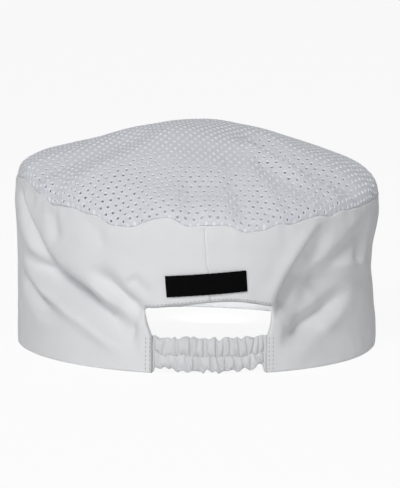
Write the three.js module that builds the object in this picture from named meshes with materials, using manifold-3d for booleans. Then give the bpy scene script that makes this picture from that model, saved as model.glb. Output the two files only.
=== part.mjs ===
import * as THREE from "three";
import { mergeVertices } from "three/addons/utils/BufferGeometryUtils.js";
import Module from "manifold-3d";

const wasm = await Module();
wasm.setup();

// A chef's skull cap, standing on its hem. Lengths are in millimetres and +Z is up.
// The back of the cap, with its opening and elastic, is +Y, and the wearer's left is +X seen from behind.

// Driving dimensions of the cap as a whole
const HALF_WIDTH = 89; // hem, from the middle to either side
const BACK_REACH = 93; // hem, from the middle to the back
const FRONT_REACH = 100; // hem, from the middle to the front
const BAND_HEIGHT = 80; // band, at the front
const BAND_WALL = 2.4; // two layers of twill with their turnings
const CROWN_RISE = 30; // top of the crown above the band's front
const MESH_WALL = 1.2; // pin-hole mesh with its backing seam
const GAP = 0.3; // clearance between two pieces that are sewn together

// The opening over the elastic, cut out of the back of the band
const OPENING_WIDTH = 59.6;
const OPENING_HEIGHT = 16.3; // above the elastic casing
const OPENING_CORNER = 3; // round corner on one side, the other is sharp

// The gathered casing that closes the band under the opening
const CASING_LENGTH = 53.3;
const CASING_HEIGHT = 17.3;
const CASING_OFFSET = -0.85; // its middle, along X
const CASING_DEPTH = 2.6; // its middle plane, behind the band's outer face
const ROW_THICKNESS = 4.6; // through the middle of a gathered row
const GATHER_PITCH = 3.4;
const GATHER_DEPTH = 1.1;
const RUFFLE = 0.8; // height of the waves along the two edges
const TONGUE_LENGTH = 5; // flat end sewn behind the band
const TONGUE_WALL = 1.5;
const TONGUE_CLEARANCE = 0.4;
const CALM_MARGIN = 4; // the band is free of folds this far above the tongues
const CALM_REACH = 5; // and its folds come back over this distance

// The woven label over the back seam
const LABEL_LENGTH = 37.8;
const LABEL_HEIGHT = 9.2;
const LABEL_WALL = 0.8;
const LABEL_RISE = 3.7; // its lower edge above the opening
const LABEL_OFFSET = 1.4; // its middle, along X
const LABEL_TILT = 4.8; // degrees

// How finely the surfaces are divided
const BACK_ARC = 168; // degrees of the closely divided back
const BACK_STEPS = 72;
const FRONT_STEPS = 24;
const BAND_ROWS = 13;
const CASING_STEPS = 56;
const TONGUE_STEPS = 3;
const LABEL_STEPS = [18, 4];
const CURVE_STEPS = 6; // along each curve of the opening's outline
const FOLD_STEPS = 8; // along each fold's curved path

// Height of the band's top edge round the head, as shares of BAND_HEIGHT.
// Turn is in degrees from the middle of the back, positive towards -X. The sewn edge puckers at the back.
const RIM = [
  { turn: -90, rise: 1.02 },
  { turn: -73, rise: 1.03 },
  { turn: -55, rise: 0.935 },
  { turn: -38, rise: 0.9 },
  { turn: -26.5, rise: 0.833 },
  { turn: -15.6, rise: 0.896 },
  { turn: -3, rise: 0.858 },
  { turn: 6.4, rise: 0.858 },
  { turn: 11.5, rise: 0.82 },
  { turn: 24.3, rise: 0.863 },
  { turn: 42, rise: 0.898 },
  { turn: 60, rise: 0.918 },
  { turn: 90, rise: 0.95 },
  { turn: 135, rise: 0.985 },
  { turn: 180, rise: 1 },
  { turn: 225, rise: 1.005 },
];

// How far the band stands out from the hem's oval on each side, as shares of HALF_WIDTH.
// Rise is a share of the way from the hem to the band's top edge.
const LEAN = [
  { rise: 0, left: 0, right: 0, back: 0, front: 0 },
  { rise: 0.15, left: 0, right: -0.006, back: 0, front: 0 },
  { rise: 0.42, left: -0.003, right: -0.024, back: 0.002, front: 0.002 },
  { rise: 0.66, left: 0.003, right: -0.022, back: 0.006, front: 0 },
  { rise: 0.88, left: 0.014, right: 0.01, back: 0.012, front: -0.004 },
  { rise: 1, left: 0.006, right: 0.006, back: 0.008, front: -0.014 },
];

// Folds pressed into the band. Each path runs through three points, each a turn in degrees and a rise.
// Rises, depths and widths are shares of BAND_HEIGHT. A fold starts from nothing and deepens along its path.
const FOLDS = [
  { path: [[-73.4, 1.03], [-58.9, 0.77], [-53.2, 0.62]], depth: 0.042, width: 0.05 },
  { path: [[-61.7, 0.57], [-38, 0.42], [-20, 0.19]], depth: 0.042, width: 0.06 },
  { path: [[-37.9, 0.62], [-28.4, 0.49], [-19.8, 0.37]], depth: 0.03, width: 0.045 },
  { path: [[-74.3, 0.45], [-62.8, 0.36], [-51.9, 0.29]], depth: 0.03, width: 0.05 },
  { path: [[35, 0.82], [25.6, 0.57], [19.7, 0.4]], depth: 0.045, width: 0.06 },
  { path: [[57.5, 0.84], [42.4, 0.67], [32.9, 0.46]], depth: 0.032, width: 0.055 },
  { path: [[56.6, 0.47], [40.5, 0.32], [25.2, 0.23]], depth: 0.042, width: 0.045 },
  { path: [[62.7, 0.72], [59.3, 0.65], [57.2, 0.57]], depth: 0.03, width: 0.05 },
  { path: [[118, 0.8], [124, 0.55], [126, 0.3]], depth: 0.02, width: 0.09 },
  { path: [[-124, 0.78], [-129, 0.5], [-131, 0.28]], depth: 0.02, width: 0.09 },
];

const FOLD_ONSET = 0.6; // share of its path over which a fold deepens
const SWELL = 0.4; // height of the swelling on each side of a fold, as a share of its depth
const SWELL_AT = 1.9; // and where it lies, in widths from the fold

// Section of the crown's dome from the middle out. Reach is a share of the way to the rim, and rise is
// a share of the dome's height.
const DOME = [
  { reach: 0, rise: 1 },
  { reach: 0.135, rise: 0.985 },
  { reach: 0.27, rise: 0.904 },
  { reach: 0.4, rise: 0.8 },
  { reach: 0.55, rise: 0.635 },
  { reach: 0.66, rise: 0.52 },
  { reach: 0.76, rise: 0.41 },
  { reach: 0.84, rise: 0.3 },
  { reach: 0.91, rise: 0.18 },
  { reach: 0.955, rise: 0.11 },
  { reach: 0.984, rise: 0.07 },
  { reach: 1, rise: 0 },
];
const DOME_BASE = 0.95; // height of the dome's foot, as a share of BAND_HEIGHT
const SHOULDER_START = 0.88; // reach at which the crown turns down to its rim
const SHOULDER = { side: 0.27, back: 0.12, front: 0.23 }; // its height, as shares of CROWN_RISE
const PUCKER_FADE = 3; // power of reach by which the rim's puckers fade towards the middle
const CREASE_FADE = 12; // power of reach by which creases fade at the rim

// Dents and ridges of the slack crown. Each path runs through three points seen from above, whose x and y are
// shares of HALF_WIDTH, as the width is. Lift is a share of CROWN_RISE, negative for a dent.
const CREASES = [
  { path: [[0.17, 0.3], [0.37, 0.54], [0.66, 0.7]], lift: 0.09, width: 0.13 },
  { path: [[0.4, 0.2], [0.6, 0.36], [0.8, 0.44]], lift: -0.07, width: 0.16 },
  { path: [[-0.28, 0.48], [-0.48, 0.66], [-0.68, 0.7]], lift: 0.08, width: 0.07 },
  { path: [[-0.33, 0.3], [-0.5, 0.5], [-0.74, 0.6]], lift: -0.12, width: 0.1 },
  { path: [[-0.33, 0.65], [-0.46, 0.76], [-0.6, 0.78]], lift: -0.06, width: 0.07 },
  { path: [[0.1, 0.88], [0.05, 0.95], [0, 1.0]], lift: -0.05, width: 0.07 },
];

// Rings of the crown from the rim inwards: reach, and how many bearings are skipped between vertices
const CROWN_RINGS = [
  { reach: 1, every: 1 },
  { reach: 0.995, every: 1 },
  { reach: 0.98, every: 1 },
  { reach: 0.955, every: 1 },
  { reach: 0.92, every: 1 },
  { reach: 0.88, every: 2 },
  { reach: 0.8, every: 2 },
  { reach: 0.7, every: 2 },
  { reach: 0.6, every: 2 },
  { reach: 0.5, every: 4 },
  { reach: 0.38, every: 4 },
  { reach: 0.26, every: 4 },
  { reach: 0.13, every: 8 },
];
const RIM_INSET = 0.4; // crown's outer face behind the band's, at the seam

// Section of the casing from hem to top, as shares of CASING_HEIGHT and ROW_THICKNESS.
// The thin row in the middle is the stitching between its two elastics.
const CASING_ROWS = [
  { rise: 0, thick: 0.3 },
  { rise: 0.08, thick: 0.66 },
  { rise: 0.27, thick: 1 },
  { rise: 0.44, thick: 0.72 },
  { rise: 0.52, thick: 0.4 },
  { rise: 0.6, thick: 0.72 },
  { rise: 0.78, thick: 1 },
  { rise: 0.93, thick: 0.66 },
  { rise: 1, thick: 0.3 },
];
const STITCH_RISE = 0.52;
const EDGE_ROW = 0.1; // share of the casing's height that waves along each edge

// How the gathers of the casing's two rows differ: how many fewer, how their spacing drifts, and their slant
const GATHERS = {
  upper: { fewer: 0, drift: 0.22, waves: 3.3, start: 0, slant: 0.3 },
  lower: { fewer: 1, drift: 0.22, waves: 2.6, start: 1.1, slant: -0.15 },
};

const radians = (degrees) => (degrees * Math.PI) / 180;

// Shortest signed turn from one bearing to another, in degrees
const turnBetween = (from, to) => ((((to - from) % 360) + 540) % 360) - 180;

const smoothStep = (share) => {
  const s = THREE.MathUtils.clamp(share, 0, 1);
  return s * s * (3 - 2 * s);
};

// Reads a column of a table by a smooth curve through its rows
function readTable(rows, key, column, at) {
  const last = rows.length - 1;
  let i = 0;
  while (i < last - 1 && at > rows[i + 1][key]) i += 1;
  const [low, high] = [rows[i], rows[i + 1]];
  const [before, after] = [rows[Math.max(i - 1, 0)], rows[Math.min(i + 2, last)]];
  const span = high[key] - low[key];
  const share = THREE.MathUtils.clamp((at - low[key]) / span, 0, 1);
  const slopeLow = ((high[column] - before[column]) / (high[key] - before[key])) * span;
  const slopeHigh = ((after[column] - low[column]) / (after[key] - low[key])) * span;
  const s2 = share * share;
  const s3 = s2 * share;
  return (
    low[column] * (2 * s3 - 3 * s2 + 1) +
    high[column] * (3 * s2 - 2 * s3) +
    slopeLow * (s3 - 2 * s2 + share) +
    slopeHigh * (s3 - s2)
  );
}

// The rim's table with rows repeated past both ends, so that it reads smoothly all round
const RIM_ROUND = [
  ...RIM.slice(-2).map((row) => ({ turn: row.turn - 360, rise: row.rise })),
  ...RIM,
  ...RIM.slice(0, 2).map((row) => ({ turn: row.turn + 360, rise: row.rise })),
];

function rimHeight(turn) {
  const first = RIM[0].turn;
  const round = ((((turn - first) % 360) + 360) % 360) + first;
  return readTable(RIM_ROUND, "turn", "rise", round) * BAND_HEIGHT;
}

// How much a bearing belongs to each side of the cap. The four shares add up to one.
function sideShares(turn) {
  const s = Math.sin(radians(turn));
  const c = Math.cos(radians(turn));
  return {
    left: s < 0 ? s * s : 0,
    right: s > 0 ? s * s : 0,
    back: c > 0 ? c * c : 0,
    front: c < 0 ? c * c : 0,
  };
}

function lean(turn, share) {
  const sides = sideShares(turn);
  let sum = 0;
  for (const side in sides) sum += sides[side] * readTable(LEAN, "rise", side, share);
  return sum * HALF_WIDTH;
}

// Nearest distance from a point to a curve through three points, in the plane
function pathDistance(x, y, [start, through, end]) {
  let best = Infinity;
  let along = 0;
  const bend = [0, 1].map((k) => 2 * through[k] - (start[k] + end[k]) / 2);
  const at = (s) => [0, 1].map((k) => (1 - s) ** 2 * start[k] + 2 * s * (1 - s) * bend[k] + s * s * end[k]);
  for (let i = 0; i < FOLD_STEPS; i += 1) {
    const [ax, ay] = at(i / FOLD_STEPS);
    const [bx, by] = at((i + 1) / FOLD_STEPS);
    const [dx, dy] = [bx - ax, by - ay];
    const share = THREE.MathUtils.clamp(((x - ax) * dx + (y - ay) * dy) / (dx * dx + dy * dy), 0, 1);
    const distance = Math.hypot(x - ax - dx * share, y - ay - dy * share);
    if (distance < best) {
      best = distance;
      along = (i + share) / FOLD_STEPS;
    }
  }
  return { distance: best, along };
}

const bump = (u) => Math.exp(-u * u);

// Section across a fold: a valley between two low swellings, by distance in widths
const foldSection = (u) => SWELL * (bump(u - SWELL_AT) + bump(u + SWELL_AT)) - bump(u);

// Where the casing meets the band's two ends, along X
const CASING_LEFT = CASING_OFFSET + CASING_LENGTH / 2;
const CASING_RIGHT = CASING_OFFSET - CASING_LENGTH / 2;

// How strong a fold may be at a place on the band: 0 over the casing's tongues, sewn behind it, else up to 1
function calm(turn, rise) {
  if (Math.cos(radians(turn)) < 0) return 1;
  const x = -HALF_WIDTH * Math.sin(radians(turn));
  const beside = Math.abs(x - CASING_OFFSET) - CASING_LENGTH / 2 - TONGUE_LENGTH;
  const above = rise - CASING_HEIGHT - CALM_MARGIN;
  return smoothStep(Math.hypot(Math.max(beside, 0), Math.max(above, 0)) / CALM_REACH);
}

function foldOffset(turn, rise) {
  const roundBand = radians(1) * HALF_WIDTH;
  let sum = 0;
  for (const fold of FOLDS) {
    const [, [middleTurn]] = fold.path;
    const path = fold.path.map(([t, r]) => [turnBetween(middleTurn, t) * roundBand, r * BAND_HEIGHT]);
    const { distance, along } = pathDistance(turnBetween(middleTurn, turn) * roundBand, rise, path);
    const strength = smoothStep(along / FOLD_ONSET);
    sum += foldSection(distance / (fold.width * BAND_HEIGHT)) * fold.depth * BAND_HEIGHT * strength;
  }
  return sum * calm(turn, rise);
}

// A point on the band, at a height above the hem and a depth behind its outer face
function bandPoint(turn, rise, depth) {
  const angle = radians(turn);
  const out = lean(turn, rise / rimHeight(turn));
  const reach = Math.cos(angle) > 0 ? BACK_REACH : FRONT_REACH;
  const normal = new THREE.Vector3(-Math.sin(angle) / HALF_WIDTH, Math.cos(angle) / reach, 0).normalize();
  const x = -(HALF_WIDTH + out) * Math.sin(angle);
  const y = (reach + out) * Math.cos(angle);
  return new THREE.Vector3(x, y, rise).addScaledVector(normal, foldOffset(turn, rise) - depth);
}

const turnAtX = (x) => (-Math.asin(x / HALF_WIDTH) * 180) / Math.PI;

// Bearings of the vertices round the cap, close together at the back
function bearings() {
  const back = Array.from({ length: BACK_STEPS }, (_, i) => (i / BACK_STEPS - 0.5) * BACK_ARC);
  const frontArc = 360 - BACK_ARC;
  const front = Array.from({ length: FRONT_STEPS }, (_, i) => BACK_ARC / 2 + (i / FRONT_STEPS) * frontArc);
  return [...back, ...front];
}

function toGeometry(points, triangles) {
  const geometry = new THREE.BufferGeometry();
  const numbers = points.flatMap((point) => point.toArray());
  geometry.setAttribute("position", new THREE.Float32BufferAttribute(numbers, 3));
  geometry.setIndex(triangles);
  return geometry;
}

// A solid swept through closed sections of equal length, either round into itself or with two flat ends
function sweepSections(sections, closed) {
  const size = sections[0].length;
  const triangles = [];
  const at = (i, j) => (i % sections.length) * size + (j % size);
  const spans = closed ? sections.length : sections.length - 1;
  for (let i = 0; i < spans; i += 1) {
    for (let j = 0; j < size; j += 1) {
      triangles.push(at(i, j), at(i + 1, j), at(i + 1, j + 1));
      triangles.push(at(i, j), at(i + 1, j + 1), at(i, j + 1));
    }
  }
  if (!closed) {
    // A section runs up its outer face and down its inner one, so quads across it close the ends
    const half = size / 2;
    const end = sections.length - 1;
    for (let j = 0; j < half - 1; j += 1) {
      const [a, b, c, d] = [j, j + 1, size - 2 - j, size - 1 - j];
      triangles.push(at(0, a), at(0, b), at(0, c), at(0, a), at(0, c), at(0, d));
      triangles.push(at(end, a), at(end, c), at(end, b), at(end, a), at(end, d), at(end, c));
    }
  }
  return toGeometry(sections.flat(), triangles);
}

// The band before its opening is cut: one loop of cloth round the head
function bandLoop() {
  const sections = bearings().map((turn) => {
    const rises = Array.from({ length: BAND_ROWS + 1 }, (_, j) => (j / BAND_ROWS) * rimHeight(turn));
    const outer = rises.map((rise) => bandPoint(turn, rise, 0));
    const inner = rises.map((rise) => bandPoint(turn, rise, BAND_WALL));
    return [...outer, ...inner.reverse()];
  });
  return sweepSections(sections, true);
}

// Outline of what is cut from the back of the band: the opening, and below it the casing's place to the hem
function openingOutline() {
  const half = OPENING_WIDTH / 2;
  const belowHem = -BAND_WALL;
  const rise = (share) => CASING_HEIGHT + share * OPENING_HEIGHT;
  const outline = new THREE.Shape();
  outline.moveTo(CASING_LEFT, belowHem);
  outline.lineTo(CASING_LEFT, CASING_HEIGHT);
  outline.quadraticCurveTo((CASING_LEFT + half) / 2, rise(0.28), half, rise(0.68));
  outline.quadraticCurveTo(half, rise(0.8), half - OPENING_CORNER, rise(0.8));
  const top = [
    { across: 0.4, up: 0.89 },
    { across: -0.08, up: 1 },
    { across: -0.5, up: 1 },
    { across: -1, up: 0.83 },
  ];
  outline.splineThru(top.map((point) => new THREE.Vector2(point.across * half, rise(point.up))));
  outline.quadraticCurveTo(-half, rise(0.35), CASING_RIGHT, CASING_HEIGHT);
  outline.lineTo(CASING_RIGHT, belowHem);
  return outline;
}

function toManifold(geometry) {
  const bare = geometry.clone();
  bare.deleteAttribute("normal");
  bare.deleteAttribute("uv");
  const merged = mergeVertices(bare, 1e-4);
  const vertProperties = new Float32Array(merged.attributes.position.array);
  const triVerts = new Uint32Array(merged.index.array);
  return new wasm.Manifold(new wasm.Mesh({ numProp: 3, vertProperties, triVerts }));
}

function fromManifold(solid) {
  const mesh = solid.getMesh();
  const geometry = new THREE.BufferGeometry();
  geometry.setAttribute("position", new THREE.BufferAttribute(new Float32Array(mesh.vertProperties), 3));
  geometry.setIndex(new THREE.BufferAttribute(new Uint32Array(mesh.triVerts), 1));
  return geometry;
}

function bandGeometry() {
  const cut = new THREE.ExtrudeGeometry(openingOutline(), {
    depth: BACK_REACH,
    bevelEnabled: false,
    curveSegments: CURVE_STEPS,
  });
  // Stood up to run from behind the cap to just short of its middle, so that only the back wall is cut
  cut.rotateX(Math.PI / 2);
  cut.translate(0, BACK_REACH * 1.25, 0);
  return fromManifold(toManifold(bandLoop()).subtract(toManifold(cut)));
}

// Lift of the crown's dents and ridges at a place seen from above
function creaseLift(x, y) {
  let sum = 0;
  for (const crease of CREASES) {
    const path = crease.path.map((point) => point.map((share) => share * HALF_WIDTH));
    const { distance } = pathDistance(x, y, path);
    sum += Math.exp(-((distance / (crease.width * HALF_WIDTH)) ** 2)) * crease.lift;
  }
  return sum * CROWN_RISE;
}

// A point on the crown's outer face, from its middle at reach 0 to its rim at reach 1
function crownPoint(turn, reach) {
  const angle = radians(turn);
  const sides = sideShares(turn);
  const out = lean(turn, 1) - RIM_INSET;
  const depth = Math.cos(angle) > 0 ? BACK_REACH : FRONT_REACH;
  const x = -(HALF_WIDTH + out) * Math.sin(angle) * reach;
  const y = (depth + out) * Math.cos(angle) * reach;
  const nearRim = reach ** PUCKER_FADE;
  const sideShoulder = SHOULDER.side * CROWN_RISE;
  const besides = SHOULDER.back * sides.back + SHOULDER.front * sides.front;
  const ownShoulder = (SHOULDER.side * (sides.left + sides.right) + besides) * CROWN_RISE;
  const past = Math.max(reach - SHOULDER_START, 0) / (1 - SHOULDER_START);
  const shoulder = (ownShoulder * nearRim + sideShoulder * (1 - nearRim)) * Math.sqrt(1 - past * past);
  const foot = rimHeight(turn) * nearRim + DOME_BASE * BAND_HEIGHT * (1 - nearRim);
  const dome = BAND_HEIGHT * (1 - DOME_BASE) + CROWN_RISE - sideShoulder;
  const lift = creaseLift(x, y) * (1 - reach ** CREASE_FADE);
  const domed = dome * readTable(DOME, "reach", "rise", reach);
  return new THREE.Vector3(x, y, foot + shoulder + domed + lift + GAP);
}

// The same point on the inner face, a wall's thickness in along the surface's normal
function crownInnerPoint(turn, reach) {
  const point = crownPoint(turn, reach);
  const angle = radians(turn);
  if (reach === 0) return point.add(new THREE.Vector3(0, 0, -MESH_WALL));
  if (reach === 1) {
    const outward = new THREE.Vector3(-Math.sin(angle), Math.cos(angle), 0);
    return point.addScaledVector(outward, -MESH_WALL);
  }
  const step = 0.004;
  const across = crownPoint(turn + 1, reach).sub(crownPoint(turn - 1, reach));
  const inward = crownPoint(turn, reach - step).sub(crownPoint(turn, Math.min(reach + step, 1)));
  return point.addScaledVector(across.cross(inward).normalize(), -MESH_WALL);
}

// Triangles between a ring of vertices and the next one inwards, which has as many or half as many
function joinRings(outer, inner, triangles) {
  const ratio = outer.length / inner.length;
  for (let k = 0; k < inner.length; k += 1) {
    const a = outer[k * ratio];
    const b = outer[(k * ratio + 1) % outer.length];
    const c = outer[(k * ratio + 2) % outer.length];
    const near = inner[k];
    const far = inner[(k + 1) % inner.length];
    if (ratio === 1) triangles.push(a, b, far, a, far, near);
    else triangles.push(a, b, near, b, c, far, b, far, near);
  }
}

function crownGeometry() {
  const turns = bearings();
  const points = [];
  const outside = [];
  const inside = [];
  const cover = (place, triangles) => {
    const rings = CROWN_RINGS.map(({ reach, every }) =>
      turns.filter((_, i) => i % every === 0).map((turn) => points.push(place(turn, reach)) - 1),
    );
    const middle = points.push(place(0, 0)) - 1;
    for (let i = 0; i + 1 < rings.length; i += 1) joinRings(rings[i], rings[i + 1], triangles);
    const last = rings[rings.length - 1];
    last.forEach((index, k) => triangles.push(index, last[(k + 1) % last.length], middle));
    return rings[0];
  };
  const outerRim = cover(crownPoint, outside);
  const innerRim = cover(crownInnerPoint, inside);
  const rimFace = [];
  joinRings(innerRim, outerRim, rimFace);
  return toGeometry(points, [...outside, ...inside.reverse(), ...rimFace]);
}

// Gathers along the casing, from 0 on a swelling to 1 in a valley. The two rows are gathered apart.
function gather(share, rise) {
  const row = rise < STITCH_RISE ? GATHERS.lower : GATHERS.upper;
  const count = Math.round(CASING_LENGTH / GATHER_PITCH) - row.fewer;
  const drift = row.drift * Math.sin(2 * Math.PI * row.waves * share + row.start);
  return 0.5 + 0.5 * Math.cos(2 * Math.PI * (count * share + drift + row.slant * rise));
}

// One section across the casing at x: full between the band's ends, flat where it is sewn behind the band
function casingSection(x, full) {
  const share = (CASING_LEFT - x) / CASING_LENGTH;
  const behindBand = BAND_WALL + TONGUE_CLEARANCE;
  const face = (row, side) => {
    const valley = gather(share, row.rise) * full;
    const atTop = smoothStep((row.rise - 1 + EDGE_ROW) / EDGE_ROW);
    const atHem = smoothStep((EDGE_ROW - row.rise) / EDGE_ROW);
    const rise = row.rise * CASING_HEIGHT + valley * RUFFLE * (atHem - atTop);
    const puffed = CASING_DEPTH - side * row.thick * (ROW_THICKNESS / 2 - valley * GATHER_DEPTH);
    const flat = side > 0 ? behindBand : behindBand + TONGUE_WALL;
    return bandPoint(turnAtX(x), rise, THREE.MathUtils.lerp(flat, puffed, full));
  };
  const outer = CASING_ROWS.map((row) => face(row, 1));
  const inner = CASING_ROWS.map((row) => face(row, -1));
  return [...outer, ...inner.reverse()];
}

// The casing from one tongue to the other. It fills out just inside the band's ends, over a few steps.
function casingGeometry() {
  const { lerp } = THREE.MathUtils;
  const leftTongue = [CASING_LEFT + TONGUE_LENGTH, CASING_LEFT - TONGUE_CLEARANCE];
  const middle = [CASING_LEFT - 2 * TONGUE_CLEARANCE, CASING_RIGHT + 2 * TONGUE_CLEARANCE];
  const rightTongue = [CASING_RIGHT + TONGUE_CLEARANCE, CASING_RIGHT - TONGUE_LENGTH];
  const sections = [];
  const run = ([from, to], steps, fullness) => {
    for (let i = 0; i <= steps; i += 1) sections.push(casingSection(lerp(from, to, i / steps), fullness(i)));
  };
  run(leftTongue, TONGUE_STEPS, () => 0);
  run(middle, CASING_STEPS, (i) => smoothStep((Math.min(i, CASING_STEPS - i) + 2) / 4));
  run(rightTongue, TONGUE_STEPS, () => 0);
  return sweepSections(sections, false);
}

// The label is a thin plate that follows the band, laid out along its length and height
function labelGeometry() {
  const [columns, rows] = LABEL_STEPS;
  const tilt = radians(LABEL_TILT);
  const middle = CASING_HEIGHT + OPENING_HEIGHT + LABEL_RISE + LABEL_HEIGHT / 2;
  const point = (u, v, depth) => {
    const x = LABEL_OFFSET - u * Math.cos(tilt) + v * Math.sin(tilt);
    return bandPoint(turnAtX(x), middle + u * Math.sin(tilt) + v * Math.cos(tilt), depth);
  };
  const sections = Array.from({ length: columns + 1 }, (_, i) => {
    const u = (i / columns - 0.5) * LABEL_LENGTH;
    const heights = Array.from({ length: rows + 1 }, (_, j) => (j / rows - 0.5) * LABEL_HEIGHT);
    const outer = heights.map((v) => point(u, v, -GAP - LABEL_WALL));
    const inner = heights.map((v) => point(u, v, -GAP));
    return [...outer, ...inner.reverse()];
  });
  return sweepSections(sections, false);
}

const whiteTwill = new THREE.MeshStandardMaterial({ color: 0xeff0f2, roughness: 0.86, metalness: 0 });
const pinHoleMesh = new THREE.MeshStandardMaterial({ color: 0xdfe3ea, roughness: 0.78, metalness: 0 });
const gatheredTwill = new THREE.MeshStandardMaterial({ color: 0xebecef, roughness: 0.88, metalness: 0 });
const blackWeave = new THREE.MeshStandardMaterial({ color: 0x101114, roughness: 0.7, metalness: 0 });

function namedMesh(name, geometry, material) {
  const mesh = new THREE.Mesh(geometry, material);
  mesh.name = name;
  return mesh;
}

const cap = new THREE.Group();
cap.add(namedMesh("mesh_crown", crownGeometry(), pinHoleMesh));
cap.add(namedMesh("band", bandGeometry(), whiteTwill));
cap.add(namedMesh("elastic_casing", casingGeometry(), gatheredTwill));
cap.add(namedMesh("woven_label", labelGeometry(), blackWeave));

// The origin lies on the floor under the middle of the cap's length
cap.position.y = (FRONT_REACH - BACK_REACH) / 2;

export default cap;
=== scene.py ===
import math

import bpy
import numpy as np
from bpy.props import FloatProperty, FloatVectorProperty, PointerProperty
from bpy.types import Operator, Panel, PropertyGroup
from mathutils import Matrix, Vector
from mathutils.geometry import delaunay_2d_cdt


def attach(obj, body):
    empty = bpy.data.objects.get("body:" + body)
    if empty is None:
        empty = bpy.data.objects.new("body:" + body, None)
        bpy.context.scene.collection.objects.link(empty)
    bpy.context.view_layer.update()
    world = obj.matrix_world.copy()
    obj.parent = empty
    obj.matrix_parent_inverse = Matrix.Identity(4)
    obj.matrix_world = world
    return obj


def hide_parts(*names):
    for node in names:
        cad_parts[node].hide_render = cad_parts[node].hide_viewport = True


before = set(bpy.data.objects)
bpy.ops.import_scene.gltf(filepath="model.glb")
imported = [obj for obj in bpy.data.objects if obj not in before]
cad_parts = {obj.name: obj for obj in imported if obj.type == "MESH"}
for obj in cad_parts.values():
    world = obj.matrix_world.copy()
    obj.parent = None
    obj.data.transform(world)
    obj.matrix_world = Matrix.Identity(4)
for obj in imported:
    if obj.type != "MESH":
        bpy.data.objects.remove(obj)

bl_info = {
    "name": "Chef Skull Cap",
    "version": (1, 0, 0),
    "blender": (4, 5, 0),
    "location": "View3D > Sidebar > Skull Cap",
    "description": "Dresses a chef's skull cap in twill, pin-hole mesh, gathered elastic and stitching",
    "category": "Object",
}

# Lengths are in metres. The cap stands on its hem at z = 0, and its back, with the opening, is +Y.
# A turn is in degrees round the head from the middle of the back, positive towards -X.
MM = 0.001
FULL_TURN = 360.0
HALF_TURN = 180.0


def table(columns, *rows):
    """A small table as one array for each named column."""
    return dict(zip(columns.split(), np.array(rows, float).T))


# Height of the band's top edge round the head, as shares of its height at the front
RIM = table(
    "turn rise",
    (-90, 1.02), (-73, 1.03), (-55, 0.935), (-38, 0.9), (-26.5, 0.833), (-15.6, 0.896), (-3, 0.858),
    (6.4, 0.858), (11.5, 0.82), (24.3, 0.863), (42, 0.898), (60, 0.918), (90, 0.95), (135, 0.985),
    (180, 1), (225, 1.005),
)

# How far the band stands out from the hem's oval on each side, as shares of the half width
LEAN = table(
    "rise left right back front",
    (0, 0, 0, 0, 0),
    (0.15, 0, -0.006, 0, 0),
    (0.42, -0.003, -0.024, 0.002, 0.002),
    (0.66, 0.003, -0.022, 0.006, 0),
    (0.88, 0.014, 0.01, 0.012, -0.004),
    (1, 0.006, 0.006, 0.008, -0.014),
)

# Folds pressed into the band: three points of each path as turn and rise, then its depth and width.
# Rises, depths and widths are shares of the band's height. They are the solid's folds, some moved a few
# millimetres so that their shaded walls lie where the photograph shows them.
FOLDS = table(
    "turn0 rise0 turn1 rise1 turn2 rise2 depth width",
    (-80, 1.02, -65, 0.76, -55, 0.59, 0.042, 0.05),
    (-64.7, 0.54, -40, 0.38, -20, 0.15, 0.048, 0.055),
    (-38.9, 0.6, -28.4, 0.46, -19.8, 0.34, 0.034, 0.045),
    (-74.3, 0.44, -62.8, 0.35, -51.9, 0.28, 0.03, 0.05),
    (38, 0.81, 28.4, 0.56, 22, 0.37, 0.045, 0.055),
    (60.5, 0.84, 46, 0.65, 36.5, 0.44, 0.032, 0.055),
    (57.6, 0.44, 41.5, 0.29, 23, 0.175, 0.036, 0.045),
    (62.7, 0.72, 59.3, 0.65, 57.2, 0.57, 0.03, 0.05),
    (118, 0.8, 124, 0.55, 126, 0.3, 0.02, 0.09),
    (-124, 0.78, -129, 0.5, -131, 0.28, 0.02, 0.09),
)

# Broad soft hollows that the folds lie in, which the solid does not have, told the same way. Far is the
# width on the side that lies to the left of the path, looking along it on the unrolled band from outside.
HOLLOWS = table(
    "turn0 rise0 turn1 rise1 turn2 rise2 depth width far",
    (41, 0.92, 29, 0.56, 22, 0.3, 0.08, 0.05, 0.22),
    (43, 0.62, 41, 0.38, 38, 0.04, 0.08, 0.3, 0.5),
    (66, 0.86, 50, 0.64, 39, 0.36, 0.035, 0.06, 0.09),
    (-69, 0.57, -45, 0.405, -22, 0.14, 0.08, 0.045, 0.11),
    (-75, 0.59, -56, 0.475, -36, 0.33, 0.06, 0.045, 0.075),
    (-38, 0.6, -27.5, 0.45, -18.5, 0.31, 0.045, 0.045, 0.07),
    (-32, 0.41, -25, 0.31, -20.5, 0.19, 0.04, 0.05, 0.085),
    (-80, 0.5, -66, 0.36, -55, 0.27, 0.024, 0.05, 0.05),
    (-24, 0.57, -21, 0.5, -16.5, 0.44, 0.03, 0.045, 0.045),
    (-37, 0.92, -34.5, 0.8, -32, 0.66, 0.014, 0.06, 0.06),
    (-54, 0.93, -52, 0.83, -50, 0.7, 0.016, 0.045, 0.045),
    (-81, 1.04, -67, 0.78, -56, 0.55, 0.065, 0.065, 0.035),
    (60, 0.46, 42, 0.29, 23, 0.165, 0.04, 0.11, 0.05),
)

# How the folds and hollows begin and end, as shares of their paths, and how the cloth swells beside them
FOLD_ONSET = 0.6
HOLLOW_ONSET = 0.3
FOLD_END = 0.25
FOLD_LEFT = 0.3
RIM_CALM = 8 * MM
FOLD_SWELL = 0.22
HOLLOW_SWELL = 0.16
SWELL_AT = 1.9
CURVE_STEPS = 20

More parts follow.
